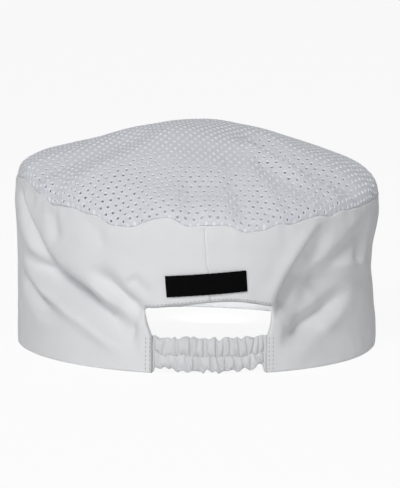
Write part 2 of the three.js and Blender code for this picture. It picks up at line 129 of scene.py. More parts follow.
# Section of the crown's dome: reach is a share of the way to the rim, rise a share of the dome's height
DOME = table(
    "reach rise",
    (0, 1), (0.135, 0.985), (0.27, 0.904), (0.4, 0.8), (0.55, 0.635), (0.66, 0.52), (0.76, 0.41),
    (0.84, 0.3), (0.91, 0.18), (0.955, 0.11), (0.984, 0.07), (1, 0),
)

# The crown's foot, where its shoulder starts and how high that is, as shares of the band's height, the
# reach and the crown's rise. The rim's waves and the dents fade by the two powers.
DOME_BASE = 0.95
SHOULDER_START = 0.88
SHOULDER = {"left": 0.25, "right": 0.25, "back": 0.12, "front": 0.23}
PUCKER_FADE = 4
CREASE_FADE = 12

# Dents and ridges of the slack crown, seen from above: three points of each path and its width are
# shares of the half width, and its lift is a share of the crown's rise
CREASES = table(
    "x0 y0 x1 y1 x2 y2 lift width",
    (0.17, 0.3, 0.37, 0.54, 0.66, 0.7, 0.09, 0.16),
    (0.4, 0.2, 0.6, 0.36, 0.8, 0.44, -0.15, 0.15),
    (-0.28, 0.48, -0.48, 0.66, -0.68, 0.7, 0.09, 0.08),
    (-0.33, 0.28, -0.52, 0.48, -0.76, 0.58, -0.24, 0.11),
    (-0.33, 0.65, -0.46, 0.76, -0.6, 0.78, -0.08, 0.07),
    (0.22, 0.84, 0.05, 0.89, -0.12, 0.86, -0.08, 0.1),
)

# Uneven waves round the head: how often each comes round, its share of the height and where it starts, in
# radians. The heights at the front and what the back adds to them are in millimetres.
# They pucker the band's top edge, gather its cloth below the seam, and puff the crown's cloth above it.
PUCKER_WAVES = table("count high start", (23, 1, 0.7), (31, 0.8, 2.1), (45, 0.7, 4.0))
GATHER_WAVES = table("count high start", (41, 1, 1.3), (57, 0.8, 0.2), (83, 0.6, 2.9))
PUFF_WAVES = table("count high start", (29, 1, 0.4), (43, 0.9, 1.9), (61, 0.6, 3.1))
PUCKER_FRONT, PUCKER_BACK = 0.12, 0.3
GATHER_HEIGHT = 0.13
GATHER_REACH = 5 * MM
PUFF_FRONT, PUFF_BACK = 0.06, 0.26

# Width of the plain, unpierced strip along the crown's seam, by turn, in millimetres
PLAIN_STRIP = table(
    "turn width",
    (-180, 2), (-100, 2), (-86, 6), (-68, 5), (-56, 1.6), (-20, 0.7), (20, 0.7), (60, 0.9), (100, 1.6),
    (180, 2),
)

# The seam that closes the band at the back, as the way it wanders in X with height, in millimetres
BACK_SEAM = table("rise x", (0, -0.4), (34, -0.4), (48, 0.3), (51, 1.0), (70, 2.6))

# Creases of the casing's two gathered rows. Foot is where a crease leaves the middle line and head where
# it reaches the row's outer edge, as shares of the casing's length from +X to -X. Its depth is a share
# of the deepest gather, and its width is in millimetres.
UPPER_CREASES = table(
    "foot head depth width",
    (0.0, 0.005, 0.8, 0.9), (0.09, 0.125, 0.65, 1.0), (0.215, 0.16, 0.75, 0.6), (0.225, 0.2, 0.7, 0.5),
    (0.335, 0.325, 0.8, 0.7), (0.39, 0.4, 0.4, 1.1), (0.45, 0.445, 0.9, 0.6), (0.495, 0.47, 0.6, 0.7),
    (0.557, 0.56, 1.0, 0.6), (0.62, 0.625, 0.9, 0.6), (0.682, 0.675, 0.8, 0.7), (0.772, 0.745, 0.8, 0.6),
    (0.843, 0.82, 1.0, 0.7), (0.88, 0.9, 0.6, 0.6), (0.938, 0.943, 1.0, 0.6), (0.99, 0.985, 1.0, 0.6),
)
LOWER_CREASES = table(
    "foot head depth width",
    (0.0, 0.0, 0.8, 0.8), (0.055, 0.06, 0.6, 1.2), (0.1, 0.1, 0.4, 0.7), (0.165, 0.18, 0.4, 0.9),
    (0.21, 0.25, 0.45, 0.8), (0.29, 0.33, 0.85, 0.8), (0.36, 0.36, 0.8, 0.6), (0.42, 0.475, 0.6, 0.9),
    (0.508, 0.52, 1.0, 0.6), (0.56, 0.61, 0.8, 0.6), (0.64, 0.65, 1.0, 0.6), (0.71, 0.755, 0.7, 0.7),
    (0.79, 0.815, 0.6, 0.8), (0.87, 0.86, 0.5, 0.9), (0.905, 0.985, 0.9, 0.7), (0.985, 0.99, 0.9, 0.6),
)

# How far the casing's edges and its middle line stray from level, in millimetres upwards
UPPER_EDGE = table(
    "share lift",
    (0, 1.4), (0.056, -0.5), (0.131, 0), (0.156, -0.65), (0.19, 0.3), (0.213, -0.8), (0.275, 0.65),
    (0.313, 0.5), (0.328, 0), (0.35, 0.7), (0.4, -0.3), (0.456, 0.05), (0.494, -0.65), (0.544, 0.5),
    (0.581, -1.4), (0.62, 0.15), (0.656, 0.4), (0.713, -0.3), (0.744, 0.4), (0.78, -0.65), (0.825, 0.65),
    (0.888, -0.15), (0.938, 0.5), (1, 1.1),
)
MIDDLE_LINE = table(
    "share lift",
    (0, 1.8), (0.038, 1.6), (0.07, 0.3), (0.1, -0.15), (0.144, 0.3), (0.206, 0), (0.275, 0.65),
    (0.313, 0.15), (0.375, 0), (0.456, -0.3), (0.5, 0), (0.563, -0.3), (0.69, 0.15), (0.75, -0.3),
    (0.838, -0.15), (0.863, 0.8), (0.88, 1.3), (0.913, 0.15), (0.94, 1.1), (1, 1.45),
)
LOWER_EDGE = table(
    "share lift",
    (0, 2), (0.063, 0.6), (0.1, 1.7), (0.138, 0.8), (0.17, 1.1), (0.213, -0.6), (0.256, 0.2),
    (0.306, -0.7), (0.338, 0), (0.39, 0), (0.425, -0.3), (0.444, -0.9), (0.478, 0.8), (0.52, -0.5),
    (0.556, 0.1), (0.58, -1.1), (0.625, 0), (0.663, 0), (0.71, 0.6), (0.756, -0.5), (0.813, 1.3),
    (0.87, 0), (0.9, 0.8), (0.938, 2.9), (0.963, 2.7), (1, 1.9),
)


def distance(name, description, millimetres, low=0.0):
    """A length that a user can change, with its default in millimetres."""
    return FloatProperty(
        name=name, description=description, default=millimetres * MM, min=low, precision=5, unit="LENGTH"
    )


def cloth_colour(name, description, colour):
    """A colour that a user can change."""
    return FloatVectorProperty(
        name=name, description=description, default=colour, size=3, min=0.0, max=1.0, subtype="COLOR"
    )


def amount(name, description, value, high):
    """A plain number that a user can change."""
    return FloatProperty(name=name, description=description, default=value, min=0.0, max=high)


class SKULLCAP_PG_cap(PropertyGroup):
    """Sizes that every piece of the cap follows."""

    half_width: distance("Half width", "Hem, from the middle to either side", 89)
    back_reach: distance("Back reach", "Hem, from the middle to the back", 93)
    front_reach: distance("Front reach", "Hem, from the middle to the front", 100)
    band_height: distance("Band height", "Height of the band at the front", 80)
    crown_rise: distance("Crown rise", "Top of the crown above the band's front", 29.4)
    opening_width: distance("Opening width", "Width of the opening at the back", 59.6)
    opening_height: distance("Opening height", "Height of the opening above the casing", 16.3)
    opening_corner: distance("Opening corner", "Round corner of the opening on its +X side", 4.5)
    casing_length: distance("Casing length", "Gathered length between the band's ends", 53.3)
    casing_height: distance("Casing height", "Height of the gathered casing", 17.3)
    casing_offset: distance("Casing offset", "Middle of the casing, along X", -0.85, -1.0)


class SKULLCAP_PG_band(PropertyGroup):
    """The deep upright band."""

    wall: distance("Wall", "Two layers of twill, seen at the opening's edge", 1.4)
    round: distance("Round", "How far in from a cut edge the folded cloth thickens", 0.9)
    rim_round: distance("Rim round", "The same along the seam with the crown", 0.3)
    rim_lift: distance("Rim lift", "How far the cloth rises to meet the crown", 0.2)
    cell: distance("Cell", "Spacing of the mesh at the back", 0.95)
    cloth_wave: distance("Cloth wave", "Height of the soft waves all over the cloth", 0.16)
    seam_depth: distance("Seam depth", "Depth of the seam at the middle of the back", 0.45)
    colour: cloth_colour("Colour", "White of the twill", (0.83, 0.835, 0.845))


class SKULLCAP_PG_crown(PropertyGroup):
    """The slack crown of pin-hole mesh."""

    wall: distance("Wall", "Thickness of the mesh cloth", 0.5)
    hole: distance("Hole", "Width of a pin hole", 1.2)
    hole_spacing: distance("Hole spacing", "From one hole to the next in a row", 4.1)
    row_spacing: distance("Row spacing", "From one row of holes to the next", 3.4)
    turning: distance("Turning", "Seam allowance folded down inside the band", 8)
    colour: cloth_colour("Colour", "Bluish white of the mesh", (0.785, 0.805, 0.85))


class SKULLCAP_PG_casing(PropertyGroup):
    """The gathered elastic casing under the opening."""

    thickness: distance("Thickness", "Through the middle of a gathered row", 4.6)
    gather_depth: distance("Gather depth", "Depth of the deepest crease", 1.9)
    lower_edge: distance("Lower edge", "Level of the lower edge above the floor", 1.1)
    middle_line: distance("Middle line", "Level of the stitched line above the floor", 8.4)
    upper_edge: distance("Upper edge", "Level of the upper edge above the floor", 16.7)
    depth: distance("Depth", "Its middle plane, behind the band's outer face", 2.6)
    tongue: distance("Tongue", "Flat end sewn behind the band", 5)
    tongue_depth: distance("Tongue depth", "Its middle plane, behind the band's outer face", 2.15)
    tongue_wall: distance("Tongue wall", "Thickness of the flat end", 1.2)
    gathering: amount("Gathering", "Cloth's length before gathering, as a share of that after", 1.6, 4)
    # The casing's white is the band's twill darkened, as painted shade of its gathers.
    colour: cloth_colour("Colour", "White of the gathered, creased twill", (0.76, 0.765, 0.775))


class SKULLCAP_PG_label(PropertyGroup):
    """The bare woven label over the back seam."""

    length: distance("Length", "Long side of the label", 36.6)
    height: distance("Height", "Short side of the label", 9.9)
    wall: distance("Wall", "Thickness of the folded tape", 0.7)
    rise: distance("Rise", "Lower edge above the opening", 3.7)
    offset: distance("Offset", "Its middle, along X", 1.4)
    tilt: amount("Tilt", "How far it is sewn off level, in degrees", 4.8, 45)
    colour: cloth_colour("Colour", "Black of the tape", (0.0022, 0.0022, 0.0026))


class SKULLCAP_PG_thread(PropertyGroup):
    """The sewing thread."""

    stitch: distance("Stitch", "Length of a stitch that shows", 1.35)
    pitch: distance("Pitch", "From one stitch to the next", 1.9)
    width: distance("Width", "Width of the thread", 0.42)
    colour: cloth_colour("Colour", "White of the thread, greyed by the shade round it", (0.6, 0.6, 0.61))


class SKULLCAP_PG_stage(PropertyGroup):
    """Floor, lights and camera."""

    camera_distance: distance("Camera distance", "From the cap's middle, along the floor", 1100)
    camera_height: distance("Camera height", "Above the floor", 197)
    camera_turn: amount("Camera turn", "Round from straight behind, towards +X, in degrees", 3.6, HALF_TURN)
    lens: amount("Lens", "Focal length on a 36 mm sensor, in millimetres", 164.4, 500)
    floor_colour: cloth_colour("Floor colour", "Pale floor", (0.9, 0.9, 0.905))
    key_power: amount("Key power", "Soft light high at the left of the camera, in watts", 11.5, 1000)
    fill_power: amount("Fill power", "Soft light beside the camera, in watts", 2.6, 1000)
    top_power: amount("Top power", "Soft light overhead, in watts", 1.2, 1000)
    inner_power: amount("Inner power", "Small light on the floor inside the cap, in watts", 0.014, 1000)
    sky: amount("Sky", "Strength of the even light all round", 0.27, 10)


class SKULLCAP_PG_settings(PropertyGroup):
    """All the settings of the cap."""

    cap: PointerProperty(type=SKULLCAP_PG_cap)
    band: PointerProperty(type=SKULLCAP_PG_band)
    crown: PointerProperty(type=SKULLCAP_PG_crown)
    casing: PointerProperty(type=SKULLCAP_PG_casing)
    label: PointerProperty(type=SKULLCAP_PG_label)
    thread: PointerProperty(type=SKULLCAP_PG_thread)
    stage: PointerProperty(type=SKULLCAP_PG_stage)


# Reading tables and measuring on surfaces


def read_table(rows, key, column, at):
    """Reads a column by a smooth curve through its rows, at one place or an array of places."""
    x, y = rows[key], rows[column]
    at = np.asarray(at, float)
    low = np.clip(np.searchsorted(x, at, side="left") - 1, 0, len(x) - 2)
    before = np.maximum(low - 1, 0)
    after = np.minimum(low + 2, len(x) - 1)
    span = x[low + 1] - x[low]
    share = np.clip((at - x[low]) / span, 0, 1)
    slope_low = (y[low + 1] - y[before]) / (x[low + 1] - x[before]) * span
    slope_high = (y[after] - y[low]) / (x[after] - x[low]) * span
    s2, s3 = share**2, share**3
    ends = y[low] * (2 * s3 - 3 * s2 + 1) + y[low + 1] * (3 * s2 - 2 * s3)
    return ends + slope_low * (s3 - 2 * s2 + share) + slope_high * (s3 - s2)


def smooth_step(share):
    """Rises smoothly from 0 to 1 as the share does."""
    s = np.clip(share, 0, 1)
    return s * s * (3 - 2 * s)


def bump(u):
    """A smooth hump of height 1, about one unit wide on each side."""
    return np.exp(-u * u)


RIPPLE_WAVES = 26


def ripple(points, length, seed):
    """Soft uneven waves through space, mostly between -1 and 1, the same on every run."""
    draw = np.random.default_rng(seed)
    heading = draw.normal(size=(RIPPLE_WAVES, 3))
    heading /= np.linalg.norm(heading, axis=1, keepdims=True)
    lengths = length * draw.uniform(0.6, 1.7, RIPPLE_WAVES)
    start = draw.uniform(0, 2 * math.pi, RIPPLE_WAVES)
    total = np.zeros(len(points))
    for way, own, first in zip(heading, lengths, start):
        total += np.sin(points @ way * (2 * math.pi / own) + first)
    return total / math.sqrt(RIPPLE_WAVES)


def line_distance(x, y, line):
    """Nearest distance from each point to a line through many, and how far along the line that is."""
    best = np.full(np.shape(x), np.inf)
    along = np.zeros(np.shape(x))
    steps = len(line) - 1
    for i in range(steps):
        (ax, ay), (bx, by) = line[i], line[i + 1]
        dx, dy = bx - ax, by - ay
        share = np.clip(((x - ax) * dx + (y - ay) * dy) / (dx * dx + dy * dy), 0, 1)
        away = np.hypot(x - ax - dx * share, y - ay - dy * share)
        nearer = away < best
        best = np.where(nearer, away, best)
        along = np.where(nearer, (i + share) / steps, along)
    return best, along


def on_left(x, y, line, along):
    """Whether each point lies to the left of a line through many, as seen along it."""
    steps = len(line) - 1
    i = np.clip((along * steps).astype(int), 0, steps - 1)
    start, way = line[i], (line[1:] - line[:-1])[i]
    return way[..., 0] * (y - start[..., 1]) > way[..., 1] * (x - start[..., 0])


def bend_through(start, through, end):
    """Points on a curve that leaves start, passes through the middle point half way, and ends at end."""
    start, through, end = (np.array(p, float) for p in (start, through, end))
    return pulled_curve(start, 2 * through - (start + end) / 2, end, CURVE_STEPS)


def pulled_curve(start, pull, end, steps):
    """Points on a curve from start to end, pulled towards a third point."""
    start, pull, end = (np.array(p, float) for p in (start, pull, end))
    s = np.linspace(0, 1, steps + 1)[:, None]
    return (1 - s) ** 2 * start + 2 * s * (1 - s) * pull + s**2 * end


def path_of(rows, i, names, scale):
    """The curved path of a table's row, from its three points."""
    points = [[rows[f"{name}{k}"][i] for name in names] for k in range(3)]
    return bend_through(*(np.array(points) * scale))


def inside(x, y, outline):
    """Whether each point lies inside a closed outline."""
    found = np.zeros(np.shape(x), bool)
    closed = np.vstack([outline, outline[:1]])
    for (ax, ay), (bx, by) in zip(closed[:-1], closed[1:]):
        if ay != by:
            crosses = ((ay > y) != (by > y)) & (x < (bx - ax) * (y - ay) / (by - ay) + ax)
            found ^= crosses
    return found


# The band's form, close to the solid's


def around(turn, low):
    """A turn brought into the full circle that starts at low."""
    return (np.asarray(turn, float) - low) % FULL_TURN + low


def periodic(rows, turn):
    """The rim's table read round and round."""
    last = {k: v[-2:] for k, v in rows.items()}
    first = {k: v[:2] for k, v in rows.items()}
    turns = np.concatenate([last["turn"] - FULL_TURN, rows["turn"], first["turn"] + FULL_TURN])
    rises = np.concatenate([last["rise"], rows["rise"], first["rise"]])
    return read_table({"turn": turns, "rise": rises}, "turn", "rise", around(turn, rows["turn"][0]))


def waves_round(rows, turn):
    """The sum of a table's waves, each repeated a whole number of times round the head."""
    angle = np.radians(turn)
    return sum(high * np.sin(count * angle + start) for count, high, start in zip(*rows.values()))


def rim_pucker(turn):
    """Small uneven waves that the sewing draws into the band's top edge, strongest at the back."""
    at_back = smooth_step((np.cos(np.radians(turn)) + 0.1) / 0.7)
    return waves_round(PUCKER_WAVES, turn) * (PUCKER_FRONT + PUCKER_BACK * at_back) * MM


def rim_height(cap, turn):
    """Height of the band's top edge above the floor."""
    return periodic(RIM, turn) * cap.band_height + rim_pucker(turn)


def side_shares(turn):
    """How much a turn belongs to each side of the cap. The shares add up to one."""
    sine, cosine = np.sin(np.radians(turn)), np.cos(np.radians(turn))
    return {
        "left": np.minimum(sine, 0) ** 2,
        "right": np.maximum(sine, 0) ** 2,
        "back": np.maximum(cosine, 0) ** 2,
        "front": np.minimum(cosine, 0) ** 2,
    }


def hem_reach(cap, angle):
    """How far the hem's oval reaches to the back or the front, by the side that an angle is on."""
    return np.where(np.cos(angle) > 0, cap.back_reach, cap.front_reach)


def lean(cap, turn, share):
    """How far the band stands out from the hem's oval, by its share of the way up."""
    sides = side_shares(turn)
    return cap.half_width * sum(sides[s] * read_table(LEAN, "rise", s, share) for s in sides)


def casing_ends(cap):
    """Where the casing meets the band's two ends, along X."""
    return cap.casing_offset + cap.casing_length / 2, cap.casing_offset - cap.casing_length / 2


# Folds stay clear of the casing's tongues by these lengths. A share of them is left at the band's top edge,
# and a share of the cloth's soft waves over the tongues.
CALM_MARGIN = 4 * MM
CALM_REACH = 5 * MM
TONGUE_ROOM = 5 * MM
RIM_LEFT = 0.15
WAVE_LEFT = 0.35


def calm(cap, turn, rise):
    """How strong a fold may be: 0 over the casing's tongues, sewn behind the band, else up to 1."""
    left, right = casing_ends(cap)
    x = -cap.half_width * np.sin(np.radians(turn))
    beside = np.abs(x - (left + right) / 2) - (left - right) / 2 - TONGUE_ROOM
    above = rise - cap.casing_height - CALM_MARGIN
    strength = smooth_step(np.hypot(np.maximum(beside, 0), np.maximum(above, 0)) / CALM_REACH)
    return np.where(np.cos(np.radians(turn)) < 0, 1.0, strength)


def fold_section(u, swell):
    """Section across a fold: a valley between two low swellings, by distance in widths."""
    return swell * (bump(u - SWELL_AT) + bump(u + SWELL_AT)) - bump(u)


def fold_offset(cap, turn, rise):
    """How far the folds and hollows press the band in, at places on it."""
    per_degree = math.radians(1) * cap.half_width
    total = np.zeros(np.shape(turn))
    kinds = ((FOLDS, FOLD_ONSET, FOLD_LEFT, FOLD_SWELL), (HOLLOWS, HOLLOW_ONSET, 0, HOLLOW_SWELL))
    for folds, onset, left, swell in kinds:
        for i, depth in enumerate(folds["depth"]):
            middle = folds["turn1"][i]
            path = path_of(folds, i, ("turn", "rise"), (1, cap.band_height))
            path[:, 0] = (path[:, 0] - middle) * per_degree
            beside = around(turn - middle, -HALF_TURN) * per_degree
            away, along = line_distance(beside, rise, path)
            width = folds["width"][i]
            if "far" in folds:
                width = np.where(on_left(beside, rise, path, along), folds["far"][i], width)
            section = fold_section(away / (width * cap.band_height), swell)
            strength = left + (1 - left) * smooth_step((1 - along) / FOLD_END)
            total += section * depth * cap.band_height * strength * smooth_step(along / onset)
    below_rim = RIM_LEFT + (1 - RIM_LEFT) * smooth_step((rim_height(cap, turn) - rise) / RIM_CALM)
    return total * calm(cap, turn, rise) * below_rim


def band_base(cap, turn, rise):
    """Points on the band's outer face with its folds, and the way out from the head at each."""
    turn, rise = np.asarray(turn, float), np.asarray(rise, float)
    angle = np.radians(turn)
    sine, cosine = np.sin(angle), np.cos(angle)
    out = lean(cap, turn, rise / rim_height(cap, turn))
    reach = hem_reach(cap, angle)
    normal = np.stack([-sine / cap.half_width, cosine / reach, np.zeros_like(sine)], -1)
    normal /= np.linalg.norm(normal, axis=-1, keepdims=True)
    points = np.stack([-(cap.half_width + out) * sine, (reach + out) * cosine, rise], -1)
    return points + normal * fold_offset(cap, turn, rise)[..., None], normal


def seam_x(rise):
    """Where the back seam lies along X, by height."""
    return read_table(BACK_SEAM, "rise", "x", rise / MM) * MM


# The back seam, in millimetres: its groove's half width, and how far the panel beside it takes to rise and
# to fall again. The panel rises by a share of the groove's depth.
GROOVE_WIDTH = 0.42
PANEL_RISE = 0.6
PANEL_FALL = 5
PANEL_SHARE = 0.35


def back_seam_relief(cap, band, turn, rise):
    """The groove of the back seam, with the panel on its +X side lying a little proud."""
    x = -cap.half_width * np.sin(np.radians(turn))
    beside = (x - seam_x(rise)) / MM
    groove = -bump(beside / GROOVE_WIDTH) * band.seam_depth
    climb = PANEL_SHARE * band.seam_depth * smooth_step(beside / PANEL_RISE)
    proud = climb * bump(np.maximum(beside, 0) / PANEL_FALL)
    at_back = np.cos(np.radians(turn)) > 0
    return np.where(at_back, groove + proud, 0.0)


def rim_gathers(cap, turn, rise):
    """Short upright puckers below the seam with the crown."""
    below = np.maximum(rim_height(cap, turn) - rise, 0)
    return waves_round(GATHER_WAVES, turn) * GATHER_HEIGHT * MM * np.exp(-below / GATHER_REACH)


def band_face(cap, band, turn, rise):
    """Points on the dressed band's outer face, and the way out at each."""
    points, normal = band_base(cap, turn, rise)
    flat = points.reshape(-1, 3)
    waves = ripple(flat, 26 * MM, 3) + 0.45 * ripple(flat, 11 * MM, 5)
    strength = WAVE_LEFT + (1 - WAVE_LEFT) * calm(cap, turn, rise)
    offset = waves.reshape(np.shape(turn)) * band.cloth_wave * strength
    offset = offset + back_seam_relief(cap, band, turn, rise) + rim_gathers(cap, turn, rise)
    return points + normal * offset[..., None], normal


def turn_at_x(cap, x):
    """The turn of a place on the back, by where it lies along X."""
    return -np.degrees(np.arcsin(np.asarray(x, float) / cap.half_width))


def spline_through(points, steps):
    """Points on a smooth curve through each of the given ones."""
    points = np.array(points, float)
    made = []
    for i in range(len(points) - 1):
        before, low = points[max(i - 1, 0)], points[i]
        high, after = points[i + 1], points[min(i + 2, len(points) - 1)]
        for s in np.arange(steps) / steps:
            out, back = (high - before) / 2, (after - low) / 2
            made.append(
                (2 * low - 2 * high + out + back) * s**3
                + (3 * high - 3 * low - 2 * out - back) * s**2
                + out * s
                + low
            )
    return np.array(made + [points[-1]])


# Points of the opening's upper edge after its round corner: shares of the half width and of the height
OPENING_TOP = table("across up", (0.4, 0.89), (-0.08, 1), (-0.5, 1), (-1, 0.83))

# Where the round corner begins and ends, as shares of the opening's height
CORNER_LOW = 0.68
CORNER_TOP = 0.8


def opening_outline(cap):
    """The cut in the band's back as x and rise, from the hem at +X up round the opening and down again."""
    half = cap.opening_width / 2
    left, right = casing_ends(cap)
    base = cap.casing_height

    def up(share):
        """Height above the floor of a share of the opening's height."""
        return base + share * cap.opening_height

    corner_low, corner_top = up(CORNER_LOW), up(CORNER_TOP)
    corner = (half - cap.opening_corner, corner_top)
    top = [(a * half, up(u)) for a, u in zip(OPENING_TOP["across"], OPENING_TOP["up"])]
    pieces = [
        np.array([(left, 0.0)]),
        pulled_curve((left, base), ((left + half) / 2, up(0.28)), (half, corner_low), 16),
        pulled_curve((half, corner_low), (half, corner_top), corner, 8)[1:],
        spline_through([corner, *top], 18)[1:],
        pulled_curve(top[-1], (-half, up(0.35)), (right, base), 16)[1:],
        np.array([(right, 0.0)]),
    ]
    return np.vstack(pieces)


def evenly(line, spacing):
    """A line's points again, at even spacing along it."""
    steps = np.linalg.norm(np.diff(line, axis=0), axis=1)
    far = np.concatenate([[0], np.cumsum(steps)])
    count = max(int(round(far[-1] / spacing)), 2)
    at = np.linspace(0, far[-1], count + 1)
    return np.stack([np.interp(at, far, line[:, k]) for k in range(2)], -1)


def beside_line(line, away):
    """A line's points moved to its left by a distance."""
    along = np.gradient(line, axis=0)
    along /= np.linalg.norm(along, axis=1, keepdims=True)
    return line + np.stack([-along[:, 1], along[:, 0]], -1) * away


# The band's mesh is worked out on its unrolled strip: s runs round the head and q up the band,
# where q is the share of the way up times the band's height.


def to_strip(cap, turn, rise):
    """A place on the band, as s and q on its strip."""
    turn = np.asarray(turn, float)
    return np.radians(turn) * cap.half_width, rise / rim_height(cap, turn) * cap.band_height


def from_strip(cap, s, q):
    """A place on the strip, as turn and rise on the band."""
    turn = np.degrees(s / cap.half_width)
    return turn, q / cap.band_height * rim_height(cap, turn)


# Distances of the close rows of vertices from an edge and from the back seam
EDGE_ROWS = np.array([0.0, 0.1, 0.28, 0.55, 0.9]) * MM
SEAM_ROWS = np.array([0.0, 0.22, 0.45, 0.75, 1.15]) * MM
SEAM_STEP = 0.8 * MM
OUTLINE_STEP = 0.7 * MM

# The mesh is fine up to this turn to either side. Its rows' spacing and the room that it leaves beside the
# close rows are shares of a cell.
FINE_BACK = 100
ROW_SHARE = 0.87
ROOM = 0.4


def strip_cloud(cap, band, outline):
    """Where the band's vertices lie on its strip: dense at its edges, its seam and the back."""
    half_round = math.pi * cap.half_width
    height = cap.band_height
    cell = band.cell
    inner = np.arange(EDGE_ROWS[-1] + cell * 0.7, height - EDGE_ROWS[-1] - cell * ROOM, cell * ROW_SHARE)
    rows = np.concatenate([EDGE_ROWS, inner, height - EDGE_ROWS[::-1]])
    back = cap.half_width * math.radians(FINE_BACK)
    cloud = []
    for j, q in enumerate(rows):
        shift = 0.5 * (j % 2)
        fine = (np.arange(-math.floor(back / cell), math.floor(back / cell)) + shift) * cell
        steps = np.arange(1, math.floor((half_round - back) / (2 * cell))) + shift
        coarse = back + steps * 2 * cell
        s = np.concatenate([[-half_round], -coarse[::-1], fine, coarse, [half_round]])
        s = s[(np.abs(s) < half_round - cell) | (np.abs(s) == half_round)]
        cloud.append(np.stack([s, np.full_like(s, q)], -1))
    grid = np.vstack(cloud)
    turn, rise = from_strip(cap, grid[:, 0], grid[:, 1])
    from_seam = np.abs(-cap.half_width * np.sin(np.radians(turn)) - seam_x(rise))
    grid = grid[(from_seam > SEAM_ROWS[-1] + ROOM * cell) | (np.abs(turn) > 90)]

    climb = np.arange(0, height, SEAM_STEP)
    seam = []
    for away in np.concatenate([-SEAM_ROWS[:0:-1], SEAM_ROWS]):
        rise = climb / height * rim_height(cap, 0)
        s, q = to_strip(cap, turn_at_x(cap, seam_x(rise) + away), rise)
        ends = np.isin(climb, (climb[0], climb[-1]))
        seam.append(np.stack([s, np.where(ends, climb, q)], -1))
    seam = np.vstack(seam)
    seam = seam[(seam[:, 1] > EDGE_ROWS[-1]) & (seam[:, 1] < height - 2 * EDGE_ROWS[-1])]

    others = np.vstack([grid, seam])
    away, _ = line_distance(others[:, 0], others[:, 1], outline)
    clear = (away > EDGE_ROWS[-1] + ROOM * cell) & ~inside(others[:, 0], others[:, 1], outline)
    beside = [outline]
    for row in EDGE_ROWS[1:]:
        moved = beside_line(outline, row)
        away, _ = line_distance(moved[:, 0], moved[:, 1], outline)
        kept = (away > 0.93 * row) & (moved[:, 1] > EDGE_ROWS[1])
        beside.append(moved[kept])
    return np.vstack([*beside, others[clear]])


TOO_CLOSE = 1e-8


def triangulate(cloud, fixed):
    """Triangles between points of a plane, each wound the same way. Fixed pairs of points stay joined."""
    made = delaunay_2d_cdt([Vector(p) for p in cloud.tolist()], fixed, [], 0, TOO_CLOSE)
    places = np.array([p[:] for p in made[0]], float)
    faces = np.array([f for f in made[2]], int)
    source = np.array([o[0] if o else -1 for o in made[3]], int)
    a, b, c = (places[faces[:, k]] for k in range(3))
    area = (b[:, 0] - a[:, 0]) * (c[:, 1] - a[:, 1]) - (b[:, 1] - a[:, 1]) * (c[:, 0] - a[:, 0])
    faces[area < 0] = faces[area < 0][:, ::-1]
    return places, faces, source


def half_wall(wall, rounding, away):
    """Half the cloth's thickness near an edge, where it swells from nothing in a quarter round."""
    share = np.clip(away / rounding, 0, 1)
    return wall / 2 * np.sqrt(1 - (1 - share) ** 2)


# Points closer than this weld
WELD = 1e-6


def new_piece(name, points, faces, corners, material, flat_angle=None):
    """A mesh object from points, faces and each face corner's place on the cloth. Points that meet weld."""
    keys = np.round(points / WELD).astype(np.int64)
    _, first, to = np.unique(keys, axis=0, return_index=True, return_inverse=True)
    to = to.reshape(-1)
    faces = [[int(to[v]) for v in face] for face in faces]
    kept = [len(set(face)) == len(face) for face in faces]
    corners = np.asarray(corners)
    sizes = np.array([len(face) for face in faces])
    corner_kept = np.repeat(kept, sizes)
    mesh = bpy.data.meshes.new(name)
    mesh.from_pydata(to_frame(points[first]).tolist(), [], [f for f, keep in zip(faces, kept) if keep])
    cloth = mesh.uv_layers.new(name="cloth")
    cloth.data.foreach_set("uv", corners[corner_kept].astype(np.float32).ravel())
    mesh.shade_smooth()
    if flat_angle is not None:
        mesh.set_sharp_from_angle(angle=flat_angle)
    mesh.validate()
    mesh.materials.append(material)
    piece = bpy.data.objects.new(name, mesh)
    bpy.context.scene.collection.objects.link(piece)
    return piece


def to_frame(points):
    """Points moved from the hem's middle to the frame's origin, under the middle of the cap's length."""
    cap = bpy.context.scene.skull_cap.cap
    return points + np.array([0, (cap.front_reach - cap.back_reach) / 2, 0])


